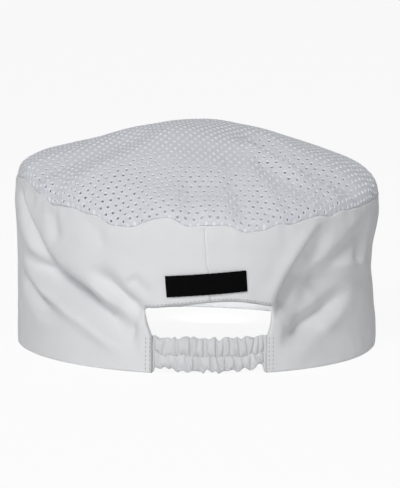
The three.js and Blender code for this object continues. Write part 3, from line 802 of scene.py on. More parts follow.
def make_band(cap, band):
    """The band as one closed wall, with its opening, seam and folds."""
    outline = opening_outline(cap)
    outline = np.vstack([outline[:1], evenly(outline[1:-1], OUTLINE_STEP), outline[-1:]])
    ends = [evenly(outline[k:k + 2], OUTLINE_STEP) for k in (0, len(outline) - 2)]
    outline = np.vstack([ends[0][:-1], outline[1:-1], ends[1][1:]])
    s, q = to_strip(cap, turn_at_x(cap, outline[:, 0]), outline[:, 1])
    edge = np.stack([s, q], -1)[::-1]
    cloud = strip_cloud(cap, band, edge)
    places, faces, _ = triangulate(cloud, [(i, i + 1) for i in range(len(edge) - 1)])
    middles = places[faces].mean(1)
    faces = faces[~inside(middles[:, 0], middles[:, 1], edge)]

    turn, rise = from_strip(cap, places[:, 0], places[:, 1])
    rim = rim_height(cap, turn)
    from_opening, _ = line_distance(places[:, 0], places[:, 1], edge)
    away = np.minimum(rise, from_opening)
    away[away < WELD] = 0
    from_rim = rim - rise
    from_rim[from_rim < WELD] = 0
    half = np.minimum(half_wall(band.wall, band.round, away), half_wall(band.wall, band.rim_round, from_rim))
    away = np.minimum(away, from_rim)
    rise = rise * (1 + band.rim_lift / rim)
    base, normal = band_base(cap, turn, rise)
    outer, _ = band_face(cap, band, turn, rise)
    middle = base - normal * (band.wall / 2)
    lift = np.einsum("ij,ij->i", outer - base, normal) * smooth_step(away / band.round)
    outer = middle + normal * (half + lift)[:, None]
    inner = middle - normal * half[:, None] + normal * (0.5 * lift)[:, None]
    count = len(places)
    shell = np.vstack([faces[:, ::-1], faces + count])
    cloth = np.stack([places[:, 0], rise], -1)
    corners = np.vstack([cloth[faces[:, ::-1]].reshape(-1, 2), cloth[faces].reshape(-1, 2)])
    return new_piece("band_cloth", np.vstack([outer, inner]), shell.tolist(), corners, white_twill(band))


# The crown's form, close to the solid's, and its cloth laid out from the middle


# How far the crown's rim stands in from the band's top edge, and above it
RIM_INSET = 0.4 * MM
SEAM_GAP = 0.15 * MM


def crease_lift(cap, x, y):
    """How far the dents and ridges lift the crown, at places seen from above."""
    total = np.zeros(np.shape(x))
    for i, lift in enumerate(CREASES["lift"]):
        path = path_of(CREASES, i, ("x", "y"), cap.half_width)
        away, _ = line_distance(x, y, path)
        total += bump(away / (CREASES["width"][i] * cap.half_width)) * lift
    return total * cap.crown_rise


def crown_point(cap, turn, reach):
    """Points on the crown's outer face, from its middle at reach 0 to its rim at reach 1."""
    turn, reach = np.asarray(turn, float), np.asarray(reach, float)
    angle = np.radians(turn)
    sides = side_shares(turn)
    out = lean(cap, turn, 1.0) - RIM_INSET
    deep = hem_reach(cap, angle)
    x = -(cap.half_width + out) * np.sin(angle) * reach
    y = (deep + out) * np.cos(angle) * reach
    near_rim = reach**PUCKER_FADE
    side_shoulder = SHOULDER["left"] * cap.crown_rise
    own_shoulder = sum(SHOULDER[s] * sides[s] for s in sides) * cap.crown_rise
    past = np.maximum(reach - SHOULDER_START, 0) / (1 - SHOULDER_START)
    turned = np.sqrt(np.maximum(1 - past * past, 0))
    shoulder = (own_shoulder * near_rim + side_shoulder * (1 - near_rim)) * turned
    foot = rim_height(cap, turn) * near_rim + DOME_BASE * cap.band_height * (1 - near_rim)
    dome = cap.band_height * (1 - DOME_BASE) + cap.crown_rise - side_shoulder
    lift = crease_lift(cap, x, y) * (1 - reach**CREASE_FADE)
    domed = dome * read_table(DOME, "reach", "rise", reach)
    return np.stack([x, y, foot + shoulder + domed + lift + SEAM_GAP], -1)


# How finely the crown's cloth is measured, round it and out from its middle
BEARINGS = 720
REACH_STEPS = 240

# At the seam the cloth turns in and down: where the turn starts, how wide it is, how far in it goes at
# first and by its taper, how far it sinks, and how much of it lies level
TURN_START = 0.8 * MM
TURN_WIDTH = 2.8 * MM
TURN_INSET = 2.3 * MM
TURN_TAPER = 0.02
TURN_SINK = 0.1 * MM
TURN_LEVEL = 1.6 * MM

# How far above the seam its puffs are highest
PUFF_AT = 3 * MM


class CrownCloth:
    """The crown's cloth laid flat: each point of it is a distance from the middle along a bearing."""

    def __init__(self, cap):
        self.cap = cap
        self.turns = np.linspace(-HALF_TURN, HALF_TURN, BEARINGS + 1)
        reach = 1 - (1 - np.linspace(0, 1, REACH_STEPS + 1)) ** 1.5
        grid_turn, grid_reach = np.meshgrid(self.turns, reach, indexing="ij")
        points = crown_point(cap, grid_turn, grid_reach)
        steps = np.linalg.norm(np.diff(points, axis=1), axis=2)
        self.length = np.concatenate([np.zeros((len(self.turns), 1)), np.cumsum(steps, 1)], 1)
        self.full = self.length[:, -1]
        even = np.linspace(0, 1, REACH_STEPS + 1)
        self.reach = np.array([np.interp(even * row[-1], row, reach) for row in self.length])
        self.bearing = np.unwrap(self.plan_bearing(self.turns))

    def plan_bearing(self, turn):
        """The bearing seen from above, of a turn round the oval."""
        angle = np.radians(turn)
        deep = hem_reach(self.cap, angle)
        return np.arctan2(self.cap.half_width * np.sin(angle), deep * np.cos(angle))

    def polar(self, u, v):
        """Turn, distance from the middle and full distance to the seam, of places on the flat cloth."""
        bearing = np.arctan2(-u, v)
        turn = np.interp(bearing, self.bearing, self.turns)
        return turn, np.hypot(u, v), np.interp(turn, self.turns, self.full)

    def flat(self, turn, far):
        """The place on the flat cloth of a turn and a distance from the middle."""
        bearing = np.interp(turn, self.turns, self.bearing)
        return np.stack([-np.sin(bearing) * far, np.cos(bearing) * far], -1)

    def reach_at(self, turn, share):
        """How far towards the rim a share of the cloth's length on that bearing comes."""
        row = (turn + HALF_TURN) / FULL_TURN * BEARINGS
        column = np.clip(share, 0, 1) * REACH_STEPS
        i = np.clip(row.astype(int), 0, BEARINGS - 1)
        j = np.clip(column.astype(int), 0, REACH_STEPS - 1)
        a, b = row - i, column - j
        low = self.reach[i, j] * (1 - b) + self.reach[i, j + 1] * b
        high = self.reach[i + 1, j] * (1 - b) + self.reach[i + 1, j + 1] * b
        return low * (1 - a) + high * a

    def point(self, u, v):
        """Points in space of places on the flat cloth, also past the seam, where it turns down inside."""
        turn, far, full = self.polar(u, v)
        points = crown_point(self.cap, turn, self.reach_at(turn, far / full))
        past = np.maximum(far - full, 0)
        angle = np.radians(turn)
        inward = -np.stack([-np.sin(angle), np.cos(angle), np.zeros_like(angle)], -1)
        begun = far - full + TURN_START
        across = TURN_INSET * smooth_step(begun / TURN_WIDTH) + TURN_TAPER * past
        drop = TURN_SINK * smooth_step(begun / MM) + np.maximum(past - TURN_LEVEL, 0)
        points = points + inward * across[:, None]
        points[:, 2] -= drop
        return points + self.slack(turn, far, full, points)

    def slack(self, turn, far, full, points):
        """Small puffs above the seam and soft waves over the slack cloth."""
        short = np.maximum(full - far, 0)
        at_back = smooth_step((np.cos(np.radians(turn)) + 0.2) / 0.8)
        near = short / PUFF_AT * np.exp(1 - short / PUFF_AT)
        lift = waves_round(PUFF_WAVES, turn) * near * (PUFF_FRONT + PUFF_BACK * at_back) * MM
        lift = lift + ripple(points, 30 * MM, 11) * 0.22 * MM * smooth_step(short / (8 * MM))
        lift = np.where(far > full, 0, lift)
        return np.stack([np.zeros_like(lift), np.zeros_like(lift), lift], -1)


# Distances of the close rings of vertices past the seam, and short of the turning's cut edge
PAST_SEAM = (-0.9, -0.45, 0, 0.35, 0.7, 1.1, 1.6, 2.2, 3.0, 4.4, 6.0)
SHORT_OF_EDGE = (0.6, 0.25, 0.08, 0.0)
RING_STEPS = 560
SEAM_MARGIN = 1.3 * MM

# A pin hole's corners, the width of the lip round it, and how far the lip stands up and its rim sinks in
HOLE_SIDES = 8
HOLE_LIP = 0.4 * MM
LIP_RISE = 0.2 * MM
HOLE_SINK = 0.2 * MM

# The kinds of vertex, and the angle past which a hole's edge looks sharp
PLAIN, HOLE_RIM, LIP_RING = 0, 1, 2
HOLE_SHARPNESS = math.radians(50)


def hole_lattice(cloth, crown):
    """Middles of the pin holes in staggered rows, kept clear of the seam, and of the whole lattice."""
    pitch, row = crown.hole_spacing, crown.row_spacing
    span = cloth.full.max()
    across, down = int(span / pitch) + 2, int(span / row) + 2
    i, j = np.meshgrid(np.arange(-across, across + 1), np.arange(-down, down + 1))
    u = (i + 0.5 * (j % 2)).ravel() * pitch
    v = j.ravel() * row
    turn, far, full = cloth.polar(u, v)
    strip = read_table(PLAIN_STRIP, "turn", "width", turn) * MM
    kept = full - far > strip + crown.hole / 2
    return np.stack([u[kept], v[kept]], -1), np.stack([u, v], -1)


def crown_cloud(cloth, crown):
    """Vertices on the flat cloth, each one's hole or -1, its kind, and how many lie on the edge."""
    holes, lattice = hole_lattice(cloth, crown)
    step = (np.arange(HOLE_SIDES) + 0.5) * (2 * math.pi / HOLE_SIDES)
    ring = np.stack([np.cos(step), np.sin(step)], -1)
    rims = (holes[:, None] + ring * (crown.hole / 2)).reshape(-1, 2)
    lips = (holes[:, None] + ring * (crown.hole / 2 + HOLE_LIP)).reshape(-1, 2)
    pitch, row = crown.hole_spacing, crown.row_spacing
    between = np.array([
        (0, row * 2 / 3), (0, -row * 2 / 3), (pitch / 2, 0), (pitch / 4, row / 2), (-pitch / 4, row / 2)
    ])
    fill = (lattice[:, None] + between).reshape(-1, 2)
    centres = lattice[~np.isin(lattice @ (1, 1j), holes @ (1, 1j))]
    fill = np.vstack([fill, centres])
    _, far, full = cloth.polar(fill[:, 0], fill[:, 1])
    fill = fill[full - far > SEAM_MARGIN]

    turns = np.linspace(-HALF_TURN, HALF_TURN, RING_STEPS, endpoint=False)
    past = np.concatenate([PAST_SEAM, crown.turning / MM - np.array(SHORT_OF_EDGE)]) * MM
    full = np.interp(turns, cloth.turns, cloth.full)
    rows = [cloth.flat(turns + 0.3 * (k % 2), full + far) for k, far in enumerate(past)]
    edge = rows[-1]
    cloud = np.vstack([edge, rims, lips, fill, *rows[:-1]])
    hole = np.full(len(cloud), -1)
    hole[len(edge):len(edge) + len(rims)] = np.repeat(np.arange(len(holes)), HOLE_SIDES)
    kind = np.full(len(cloud), PLAIN)
    kind[len(edge):len(edge) + len(rims)] = HOLE_RIM
    kind[len(edge) + len(rims):len(edge) + len(rims) + len(lips)] = LIP_RING
    return cloud, hole, kind, len(edge)


def vertex_normals(points, faces):
    """Outward normals at the vertices, from the faces round each."""
    a, b, c = (points[faces[:, k]] for k in range(3))
    across = np.cross(b - a, c - a)
    normals = np.zeros_like(points)
    for k in range(3):
        np.add.at(normals, faces[:, k], across)
    return normals / np.maximum(np.linalg.norm(normals, axis=1, keepdims=True), 1e-18)


def whole_faces(cloud, hole, edge_count):
    """Triangles over the cloth, with those that fill the pin holes told apart."""
    fixed = [(i, (i + 1) % edge_count) for i in range(edge_count)]
    places, faces, source = triangulate(cloud, fixed)
    if len(places) != len(cloud) or not np.array_equal(source, np.arange(len(cloud))):
        raise RuntimeError("two of the crown's vertices fell together")
    own = hole[faces]
    in_hole = (own[:, 0] >= 0) & (own[:, 0] == own[:, 1]) & (own[:, 0] == own[:, 2])
    middles = cloud[faces].mean(1)
    within = inside(middles[:, 0], middles[:, 1], cloud[:edge_count])
    return faces[within], in_hole[within]


def make_crown(cap, crown):
    """The crown as one closed wall pierced by its pin holes, turned down inside the band at its seam."""
    cloth = CrownCloth(cap)
    cloud, hole, kind, edge_count = crown_cloud(cloth, crown)
    faces, in_hole = whole_faces(cloud, hole, edge_count)
    points = cloth.point(cloud[:, 0], cloud[:, 1])
    normal = vertex_normals(points, faces)

    _, far, full = cloth.polar(cloud[:, 0], cloud[:, 1])
    away = full + crown.turning - far
    away[:edge_count] = 0
    half = half_wall(crown.wall, crown.wall / 2, away)
    lip = np.where(kind == LIP_RING, LIP_RISE, 0) - np.where(kind == HOLE_RIM, HOLE_SINK, 0)
    outer = points - normal * (crown.wall / 2 - half - lip)[:, None]

    kept = np.flatnonzero(kind != LIP_RING)
    to_inner = np.full(len(cloud), -1)
    to_inner[kept] = np.arange(len(kept))
    inner_faces, inner_in_hole = whole_faces(cloud[kept], hole[kept], edge_count)
    inner = (points - normal * (crown.wall / 2 + half)[:, None])[kept]

    count = len(outer)
    rims = np.flatnonzero(kind == HOLE_RIM).reshape(-1, HOLE_SIDES)
    following = np.roll(rims, -1, axis=1)
    walls = np.stack([rims, following, to_inner[following] + count, to_inner[rims] + count], -1)
    walls = walls.reshape(-1, 4)
    outer_faces = faces[~in_hole]
    inner_faces = inner_faces[~inner_in_hole][:, ::-1]
    corners = np.vstack([
        cloud[outer_faces].reshape(-1, 2),
        cloud[kept][inner_faces].reshape(-1, 2),
        cloud[np.stack([rims, following, following, rims], -1).reshape(-1, 4)].reshape(-1, 2),
    ])
    shell = outer_faces.tolist() + (inner_faces + count).tolist() + walls.tolist()
    material = pin_hole_mesh(crown)
    return new_piece("crown_cloth", np.vstack([outer, inner]), shell, corners, material, HOLE_SHARPNESS)


# The gathered casing


# How finely the casing is made, and how its creases bend and where they stop growing deeper
CASING_STEPS = 460
ROW_STEPS = 16
TONGUE_STEPS = 8
CREASE_BEND = 1.4
CREASE_LIMIT = 1.15

# Its section: how bluntly a row bulges, what is left of it and how wide it is at the stitched line, how far
# the upper row's outer edge sinks, the most that a crease sinks and what it sinks at the back, as shares of
# the half thickness and of the front, and the room under it
BULGE = 0.45
PINCHED = 0.3
PINCH_WIDTH = 0.6 * MM
EDGE_SINK = 0.35 * MM
SINK_LIMIT = 0.8
BACK_SINK = 0.7
FLOOR_ROOM = 0.05 * MM


def crease_depth(rows, share, outward, length):
    """How deep a gathered row's creases are, as a share of the deepest. Outward is 1 at its edge."""
    total = np.zeros(np.broadcast_shapes(share.shape, outward.shape))
    for foot, head, depth, width in zip(*rows.values()):
        middle = foot + (head - foot) * outward**CREASE_BEND
        total += depth * bump((share - middle) * length / (width * MM))
    return np.minimum(total, CREASE_LIMIT)


def casing_form(cap, casing, x, full):
    """Half the thickness at each x from the lower edge up, how far the creases sink, and the rise."""
    left, right = casing_ends(cap)
    length = left - right
    share = ((left - x) / length)[:, None]
    lobe = ((1 - np.cos(np.linspace(0, math.pi, ROW_STEPS + 1))) / 2)[None]
    low = casing.lower_edge + read_table(LOWER_EDGE, "share", "lift", share) * MM
    middle = casing.middle_line + read_table(MIDDLE_LINE, "share", "lift", share) * MM
    high = casing.upper_edge + read_table(UPPER_EDGE, "share", "lift", share) * MM
    rise = np.hstack([low + (middle - low) * lobe[:, :-1], middle + (high - middle) * lobe])
    in_row = np.concatenate([lobe[0, :-1], lobe[0]])[None]
    is_lower = np.arange(2 * ROW_STEPS + 1)[None] < ROW_STEPS
    outward = np.where(is_lower, 1 - in_row, in_row)
    creases = np.where(
        is_lower,
        crease_depth(LOWER_CREASES, share, outward, length),
        crease_depth(UPPER_CREASES, share, outward, length),
    )
    body = np.sin(math.pi * in_row) ** BULGE
    pinch = PINCHED * bump((rise - middle) / PINCH_WIDTH)
    half = casing.thickness / 2 * np.maximum(body, pinch)
    sunk = creases * casing.gather_depth * body + EDGE_SINK * outward * np.where(is_lower, 0, 1)
    sunk = np.minimum(sunk, SINK_LIMIT * half)
    flat_rise = cap.casing_height * np.concatenate([lobe[0, :-1] / 2, 0.5 + lobe[0] / 2])[None]
    rise = np.maximum(flat_rise * (1 - full[:, None]) + rise * full[:, None], FLOOR_ROOM)
    return half, sunk, rise


def casing_places(cap, casing):
    """Where the sections stand along X, and how full each is."""
    left, right = casing_ends(cap)
    middle = np.linspace(left, right, CASING_STEPS)
    inward = np.minimum(left - middle, middle - right)
    swell = smooth_step((inward + 0.2 * MM) / (1.5 * MM))
    tongue = np.linspace(casing.tongue, 0.3 * MM, TONGUE_STEPS)
    x = np.concatenate([left + tongue, middle, right - tongue[::-1]])
    full = np.concatenate([np.zeros(TONGUE_STEPS), swell, np.zeros(TONGUE_STEPS)])
    return x, full


def make_casing(cap, casing):
    """The casing as one closed strap, puffed between its creases and pinched by its middle stitching."""
    x, full = casing_places(cap, casing)
    half, sunk, rise = casing_form(cap, casing, x, full)
    flat = np.full_like(half, casing.tongue_wall / 2)
    flat[:, [0, -1]] = 0
    swollen = full[:, None]
    middle = casing.tongue_depth * (1 - swollen) + casing.depth * swollen
    outer = middle - (flat * (1 - swollen) + (half - sunk) * swollen)
    inner = middle + (flat * (1 - swollen) + (half - BACK_SINK * sunk) * swollen)
    depth = np.hstack([outer, inner[:, -2:0:-1]])
    rise = np.hstack([rise, rise[:, -2:0:-1]])
    size = depth.shape[1]
    turn = np.repeat(turn_at_x(cap, x)[:, None], size, 1)
    base, normal = band_base(cap, turn.ravel(), rise.ravel())
    points = base - normal * depth.reshape(-1, 1)
    wrinkles = ripple(points * (1, 1, 0.25), 4.5 * MM, 21) * 0.28 * MM
    fine = ripple(points * (1, 1, 0.5), 1.9 * MM, 22) * 0.09 * MM
    outward = np.where(depth < middle, 1.0, -1.0) * smooth_step(np.abs(depth - middle) / (1.2 * MM))
    points = points + normal * ((wrinkles + fine) * (outward * swollen).ravel())[:, None]
    at = np.arange(len(x) * size).reshape(len(x), size)
    low, high = at[:-1], at[1:]
    quads = np.stack([low, high, np.roll(high, -1, 1), np.roll(low, -1, 1)], -1).reshape(-1, 4)
    along = (x[0] - x) * casing.gathering
    way_round = np.linspace(0, 2 * cap.casing_height, size + 1)
    cloth = np.stack(np.meshgrid(along, way_round, indexing="ij"), -1)
    uv = np.stack([cloth[:-1, :-1], cloth[1:, :-1], cloth[1:, 1:], cloth[:-1, 1:]], -2).reshape(-1, 2)
    faces = quads.tolist()
    end_corners = []
    top = size // 2
    for end, turned in ((at[0], False), (at[-1], True)):
        for j in range(top):
            around_end = [end[j], end[j + 1], end[size - 1 - j], end[(size - j) % size]]
            face = list(dict.fromkeys(int(v) for v in around_end))
            faces.append(face[::-1] if turned else face)
            end_corners.append(np.zeros((len(face), 2)))
    corners = np.vstack([uv, *end_corners])
    return new_piece("casing_cloth", points, faces, corners, gathered_twill(casing))


# The label


# How far in the label's edges are rounded, the step of its mesh, and its height over the cloth
LABEL_END_ROUND = 0.5 * MM
LABEL_SIDE_ROUND = 0.4 * MM
LABEL_STEP = 0.8 * MM
LABEL_GAP = 0.32 * MM


def label_middle(cap, label):
    """Height of the label's middle above the floor."""
    return cap.casing_height + cap.opening_height + label.rise + label.height / 2


def label_place(cap, label, u, v, above):
    """Points over the band at u along and v up the tilted label, a distance above the cloth."""
    tilt = math.radians(label.tilt)
    x = label.offset - u * math.cos(tilt) + v * math.sin(tilt)
    rise = label_middle(cap, label) + u * math.sin(tilt) + v * math.cos(tilt)
    points, normal = band_base(cap, turn_at_x(cap, x), rise)
    return points + normal * above[..., None]


def rounded_places(half, rounding, step):
    """Places from one edge to the other, close together where the edge is rounded."""
    edge = np.array([0, 0.08, 0.25, 0.5, 0.8, 1.0]) * rounding
    count = max(int((2 * half - 2 * rounding) / step), 2)
    middle = np.linspace(-half + rounding, half - rounding, count + 1)[1:-1]
    return np.concatenate([-half + edge, middle, half - edge[::-1]])


def make_label(cap, label):
    """The label as a thin plate of folded tape that follows the band."""
    u = rounded_places(label.length / 2, LABEL_END_ROUND, LABEL_STEP)
    v = rounded_places(label.height / 2, LABEL_SIDE_ROUND, LABEL_STEP)
    grid_u, grid_v = np.meshgrid(u, v, indexing="ij")
    from_end = label.length / 2 - np.abs(grid_u)
    from_side = label.height / 2 - np.abs(grid_v)
    half = np.minimum(
        half_wall(label.wall, LABEL_END_ROUND, from_end), half_wall(label.wall, LABEL_SIDE_ROUND, from_side)
    )
    flat = np.stack([grid_u, grid_v, np.zeros_like(grid_u)], -1).reshape(-1, 3)
    wave = ripple(flat, 14 * MM, 31).reshape(grid_u.shape) * 0.12 * MM
    folded = 0.16 * MM * bump((from_end - 3 * MM) / (2.2 * MM))
    folded -= 0.22 * MM * bump((from_end - 5.4 * MM) / (0.5 * MM))
    frayed = 0.05 * MM * np.sin(grid_u / (0.42 * MM)) * bump(from_side / (0.5 * MM))
    level = LABEL_GAP + label.wall / 2 + wave * smooth_step(from_end / (4 * MM))
    count = grid_u.size
    across = (grid_v + frayed * np.sign(grid_v)).ravel()
    raised = (level + half + (folded * 0.6) * (half / half.max())).ravel()
    top = label_place(cap, label, grid_u.ravel(), across, raised)
    bottom = label_place(cap, label, grid_u.ravel(), across, (level - half).ravel())
    at = np.arange(count).reshape(grid_u.shape)
    quads = np.stack([at[:-1, :-1], at[:-1, 1:], at[1:, 1:], at[1:, :-1]], -1).reshape(-1, 4)
    cloth = np.stack([grid_u, grid_v], -1).reshape(-1, 2)
    faces = np.vstack([quads, quads[:, ::-1] + count])
    corners = np.vstack([cloth[quads].reshape(-1, 2), cloth[quads[:, ::-1]].reshape(-1, 2)])
    return new_piece("label_tape", np.vstack([top, bottom]), faces.tolist(), corners, black_weave(label))


# Stitches


# Where the rows of stitches lie: beside the band's ends, above the opening, and the tack above that with
# half its length
END_ROWS = (1.0 * MM, 2.9 * MM)
OPENING_ROW = 1.5 * MM
TACK_RISE = 1.9 * MM
TACK_HALF = 1.6 * MM


# A stitch's sides and rings, how plump it is, and its height as a share of its width
STITCH_SIDES = 7
STITCH_RINGS = 6
PLUMPNESS = 0.6
FLATTENED = 0.8


def capsule(length, width):
    """Points and faces of one stitch: a plump thread lying along X, flattened towards the cloth."""
    sides = STITCH_SIDES
    angle = np.linspace(0, math.pi, STITCH_RINGS + 1)[1:-1]
    turn = np.arange(sides) * (2 * math.pi / sides)
    along = -np.cos(angle) * length / 2
    radius = np.sin(angle) ** PLUMPNESS * width / 2
    ring = np.stack(np.broadcast_arrays(
        along[:, None], radius[:, None] * np.cos(turn), FLATTENED * radius[:, None] * np.sin(turn)
    ), -1).reshape(-1, 3)
    points = np.vstack([ring, [(-length / 2, 0, 0), (length / 2, 0, 0)]])
    at = np.arange(len(ring)).reshape(len(angle), sides)
    faces = []
    for i in range(len(angle) - 1):
        for k in range(sides):
            after = (k + 1) % sides
            faces.append([at[i, k], at[i + 1, k], at[i + 1, after], at[i, after]])
    for k in range(sides):
        after = (k + 1) % sides
        faces.append([at[0, k], at[0, after], len(ring)])
        faces.append([at[-1, after], at[-1, k], len(ring) + 1])
    return points, faces


def sew(rows, thread):
    """Points and faces of stitches laid along rows. Each row holds places in space and the ways out."""
    model, model_faces = capsule(thread.stitch, thread.width)
    points, faces = [], []
    for places, normals in rows:
        steps = np.linalg.norm(np.diff(places, axis=0), axis=1)
        far = np.concatenate([[0], np.cumsum(steps)])
        count = int(far[-1] / thread.pitch)
        middles = (np.arange(count) + 0.5) * far[-1] / max(count, 1)
        for at in middles:
            ends = [
                np.array([np.interp(at + d, far, places[:, k]) for k in range(3)])
                for d in (-thread.stitch / 2, 0, thread.stitch / 2)
            ]
            out = np.array([np.interp(at, far, normals[:, k]) for k in range(3)])
            along = ends[2] - ends[0]
            along /= np.linalg.norm(along)
            out = out - along * (out @ along)
            out /= np.linalg.norm(out)
            turned = np.stack([along, np.cross(out, along), out])
            first = sum(len(p) for p in points)
            points.append(model @ turned + ends[1] + out * 0.05 * MM)
            faces.extend([[int(v) + first for v in face] for face in model_faces])
    return np.vstack(points), faces


def casing_end_rows(cap, band):
    """Upright rows beside the band's two ends, where the casing is sewn in."""
    rows = []
    for end, side in zip(casing_ends(cap), (1, -1)):
        for away in END_ROWS:
            rise = np.linspace(0.9 * MM, cap.casing_height - 0.2 * MM, 40)
            turn = turn_at_x(cap, end + side * away)
            rows.append(band_face(cap, band, np.full_like(rise, turn), rise))
    return rows


def opening_edge_row(cap, band, away):
    """A row along the opening's upper edge, just above it."""
    line = evenly(opening_outline(cap)[1:-1], 0.5 * MM)
    moved = beside_line(line, -away)
    moved = moved[moved[:, 1] > cap.casing_height + CORNER_TOP * cap.opening_height]
    return band_face(cap, band, turn_at_x(cap, moved[:, 0]), moved[:, 1])


def seam_tack_row(cap, band, rise, half):
    """A short level bar of stitches across the back seam."""
    x = seam_x(rise) + np.linspace(half, -half, 12)
    return band_face(cap, band, turn_at_x(cap, x), np.full_like(x, rise))


def casing_line_row(cap, casing):
    """The row that parts the casing's two elastics, lying in its groove."""
    left, right = casing_ends(cap)
    x = np.linspace(left - 1.5 * MM, right + 1.5 * MM, 160)
    half, sunk, rise = casing_form(cap, casing, x, np.ones_like(x))
    base, normal = band_base(cap, turn_at_x(cap, x), rise[:, ROW_STEPS])
    depth = casing.depth - half[:, ROW_STEPS] + sunk[:, ROW_STEPS]
    return base - normal * depth[:, None], normal


def sewn_piece(name, rows, thread):
    """One piece of thread from rows of stitches."""
    points, faces = sew(rows, thread)
    corners = np.zeros((sum(len(face) for face in faces), 2))
    return new_piece(name, points, faces, corners, sewing_thread(thread))


def make_band_stitches(cap, band, thread):
    """The stitches over the band: at the casing's ends, along the opening and across the back seam."""
    rows = casing_end_rows(cap, band)
    rows.append(opening_edge_row(cap, band, OPENING_ROW))
    rows.append(seam_tack_row(cap, band, cap.casing_height + cap.opening_height + TACK_RISE, TACK_HALF))
    return sewn_piece("band_stitches", rows, thread)


def make_casing_stitches(cap, casing, thread):
    """The row of stitches between the casing's two elastics."""
    return sewn_piece("casing_stitches", [casing_line_row(cap, casing)], thread)


# Materials


def math_node(tree, operation, *values):
    """A Math node's output, from numbers or other nodes' outputs."""
    node = tree.nodes.new("ShaderNodeMath")
    node.operation = operation
    for socket, value in zip(node.inputs, values):
        if isinstance(value, (int, float)):
            socket.default_value = value
        else:
            tree.links.new(value, socket)
    return node.outputs[0]


def new_group(name, inputs, outputs):
    """An empty shader node group with named sockets, and its own input and output nodes."""
    tree = bpy.data.node_groups.new(name, "ShaderNodeTree")
    for label, kind, value in inputs:
        socket = tree.interface.new_socket(name=label, in_out="INPUT", socket_type=kind)
        if value is not None:
            socket.default_value = value
    for label in outputs:
        tree.interface.new_socket(name=label, in_out="OUTPUT", socket_type="NodeSocketFloat")
    return tree, tree.nodes.new("NodeGroupInput"), tree.nodes.new("NodeGroupOutput")


def noise_in(tree, vector, scale, detail):
    """The output of a noise over a vector."""
    node = tree.nodes.new("ShaderNodeTexNoise")
    node.inputs["Scale"].default_value = scale
    node.inputs["Detail"].default_value = detail
    tree.links.new(vector, node.inputs["Vector"])
    return node.outputs["Fac"]


def weave_group():
    """Height of a weave over the cloth: slanting ribs cut by the crossing threads, with uneven yarn."""
    found = bpy.data.node_groups.get("woven cloth")
    if found:
        return found
    inputs = [
        ("Cloth", "NodeSocketVector", None),
        ("Rib", "NodeSocketFloat", 0.55 * MM),
        ("Slant", "NodeSocketFloat", 1.0),
        ("Cut", "NodeSocketFloat", 0.4),
        ("Uneven", "NodeSocketFloat", 0.5),
    ]
    tree, source, result = new_group("woven cloth", inputs, ["Height", "Valley"])
    parts = tree.nodes.new("ShaderNodeSeparateXYZ")
    tree.links.new(source.outputs["Cloth"], parts.inputs[0])
    turns = math_node(tree, "DIVIDE", 2 * math.pi, source.outputs["Rib"])
    x = math_node(tree, "MULTIPLY", parts.outputs["X"], turns)
    y = math_node(tree, "MULTIPLY", parts.outputs["Y"], turns)
    slanted = math_node(tree, "MULTIPLY", y, source.outputs["Slant"])
    rib = math_node(tree, "SINE", math_node(tree, "ADD", x, slanted))
    across = math_node(tree, "SUBTRACT", y, slanted)
    crossing = math_node(tree, "SINE", math_node(tree, "MULTIPLY", across, 2.0))
    cut = math_node(tree, "MULTIPLY", crossing, source.outputs["Cut"])
    woven = math_node(tree, "MULTIPLY_ADD", rib, math_node(tree, "ADD", 1.0, cut), 1.0)
    yarn = noise_in(tree, source.outputs["Cloth"], 1400.0, 2.0)
    uneven = math_node(tree, "MULTIPLY", yarn, source.outputs["Uneven"])
    height = math_node(tree, "MULTIPLY_ADD", woven, 0.5, uneven)
    tree.links.new(height, result.inputs["Height"])
    # Valley is the weave's depth below its ribs, which the materials use to paint shade into the colour.
    tree.links.new(math_node(tree, "SUBTRACT", 1.0, height), result.inputs["Valley"])
    return tree


def tone_group():
    """Soft large patches, for the slight unevenness of washed cloth."""
    found = bpy.data.node_groups.get("soft tone")
    if found:
        return found
    inputs = [("Place", "NodeSocketVector", None), ("Strength", "NodeSocketFloat", 1.0)]
    tree, source, result = new_group("soft tone", inputs, ["Tone"])
    wide = noise_in(tree, source.outputs["Place"], 22.0, 2.0)
    close = noise_in(tree, source.outputs["Place"], 160.0, 3.0)
    both = math_node(tree, "MULTIPLY_ADD", close, 0.5, wide)
    level = math_node(tree, "SUBTRACT", both, 0.75)
    tree.links.new(math_node(tree, "MULTIPLY", level, source.outputs["Strength"]), result.inputs["Tone"])
    return tree


def lip_highlight_group():
    """Pale rings round the pin holes: painted highlights where the lips round them catch the light. They
    stand in the holes' staggered rows.
    """
    found = bpy.data.node_groups.get("painted lip highlights")
    if found:
        return found
    inputs = [
        ("Cloth", "NodeSocketVector", None),
        ("Spacing", "NodeSocketFloat", 4.1 * MM),
        ("Row", "NodeSocketFloat", 3.4 * MM),
        ("Strength", "NodeSocketFloat", 0.5),
    ]
    tree, source, result = new_group("painted lip highlights", inputs, ["Tone"])
    parts = tree.nodes.new("ShaderNodeSeparateXYZ")
    tree.links.new(source.outputs["Cloth"], parts.inputs[0])
    along = math_node(tree, "MULTIPLY", parts.outputs["X"], 2 * math.pi)
    across = math_node(tree, "MULTIPLY", parts.outputs["Y"], math.pi)
    along = math_node(tree, "COSINE", math_node(tree, "DIVIDE", along, source.outputs["Spacing"]))
    across = math_node(tree, "COSINE", math_node(tree, "DIVIDE", across, source.outputs["Row"]))
    ring = math_node(tree, "MAXIMUM", math_node(tree, "MULTIPLY", along, across), 0.0)
    level = math_node(tree, "SUBTRACT", ring, 0.2)
    tree.links.new(math_node(tree, "MULTIPLY", level, source.outputs["Strength"]), result.inputs["Tone"])
    return tree


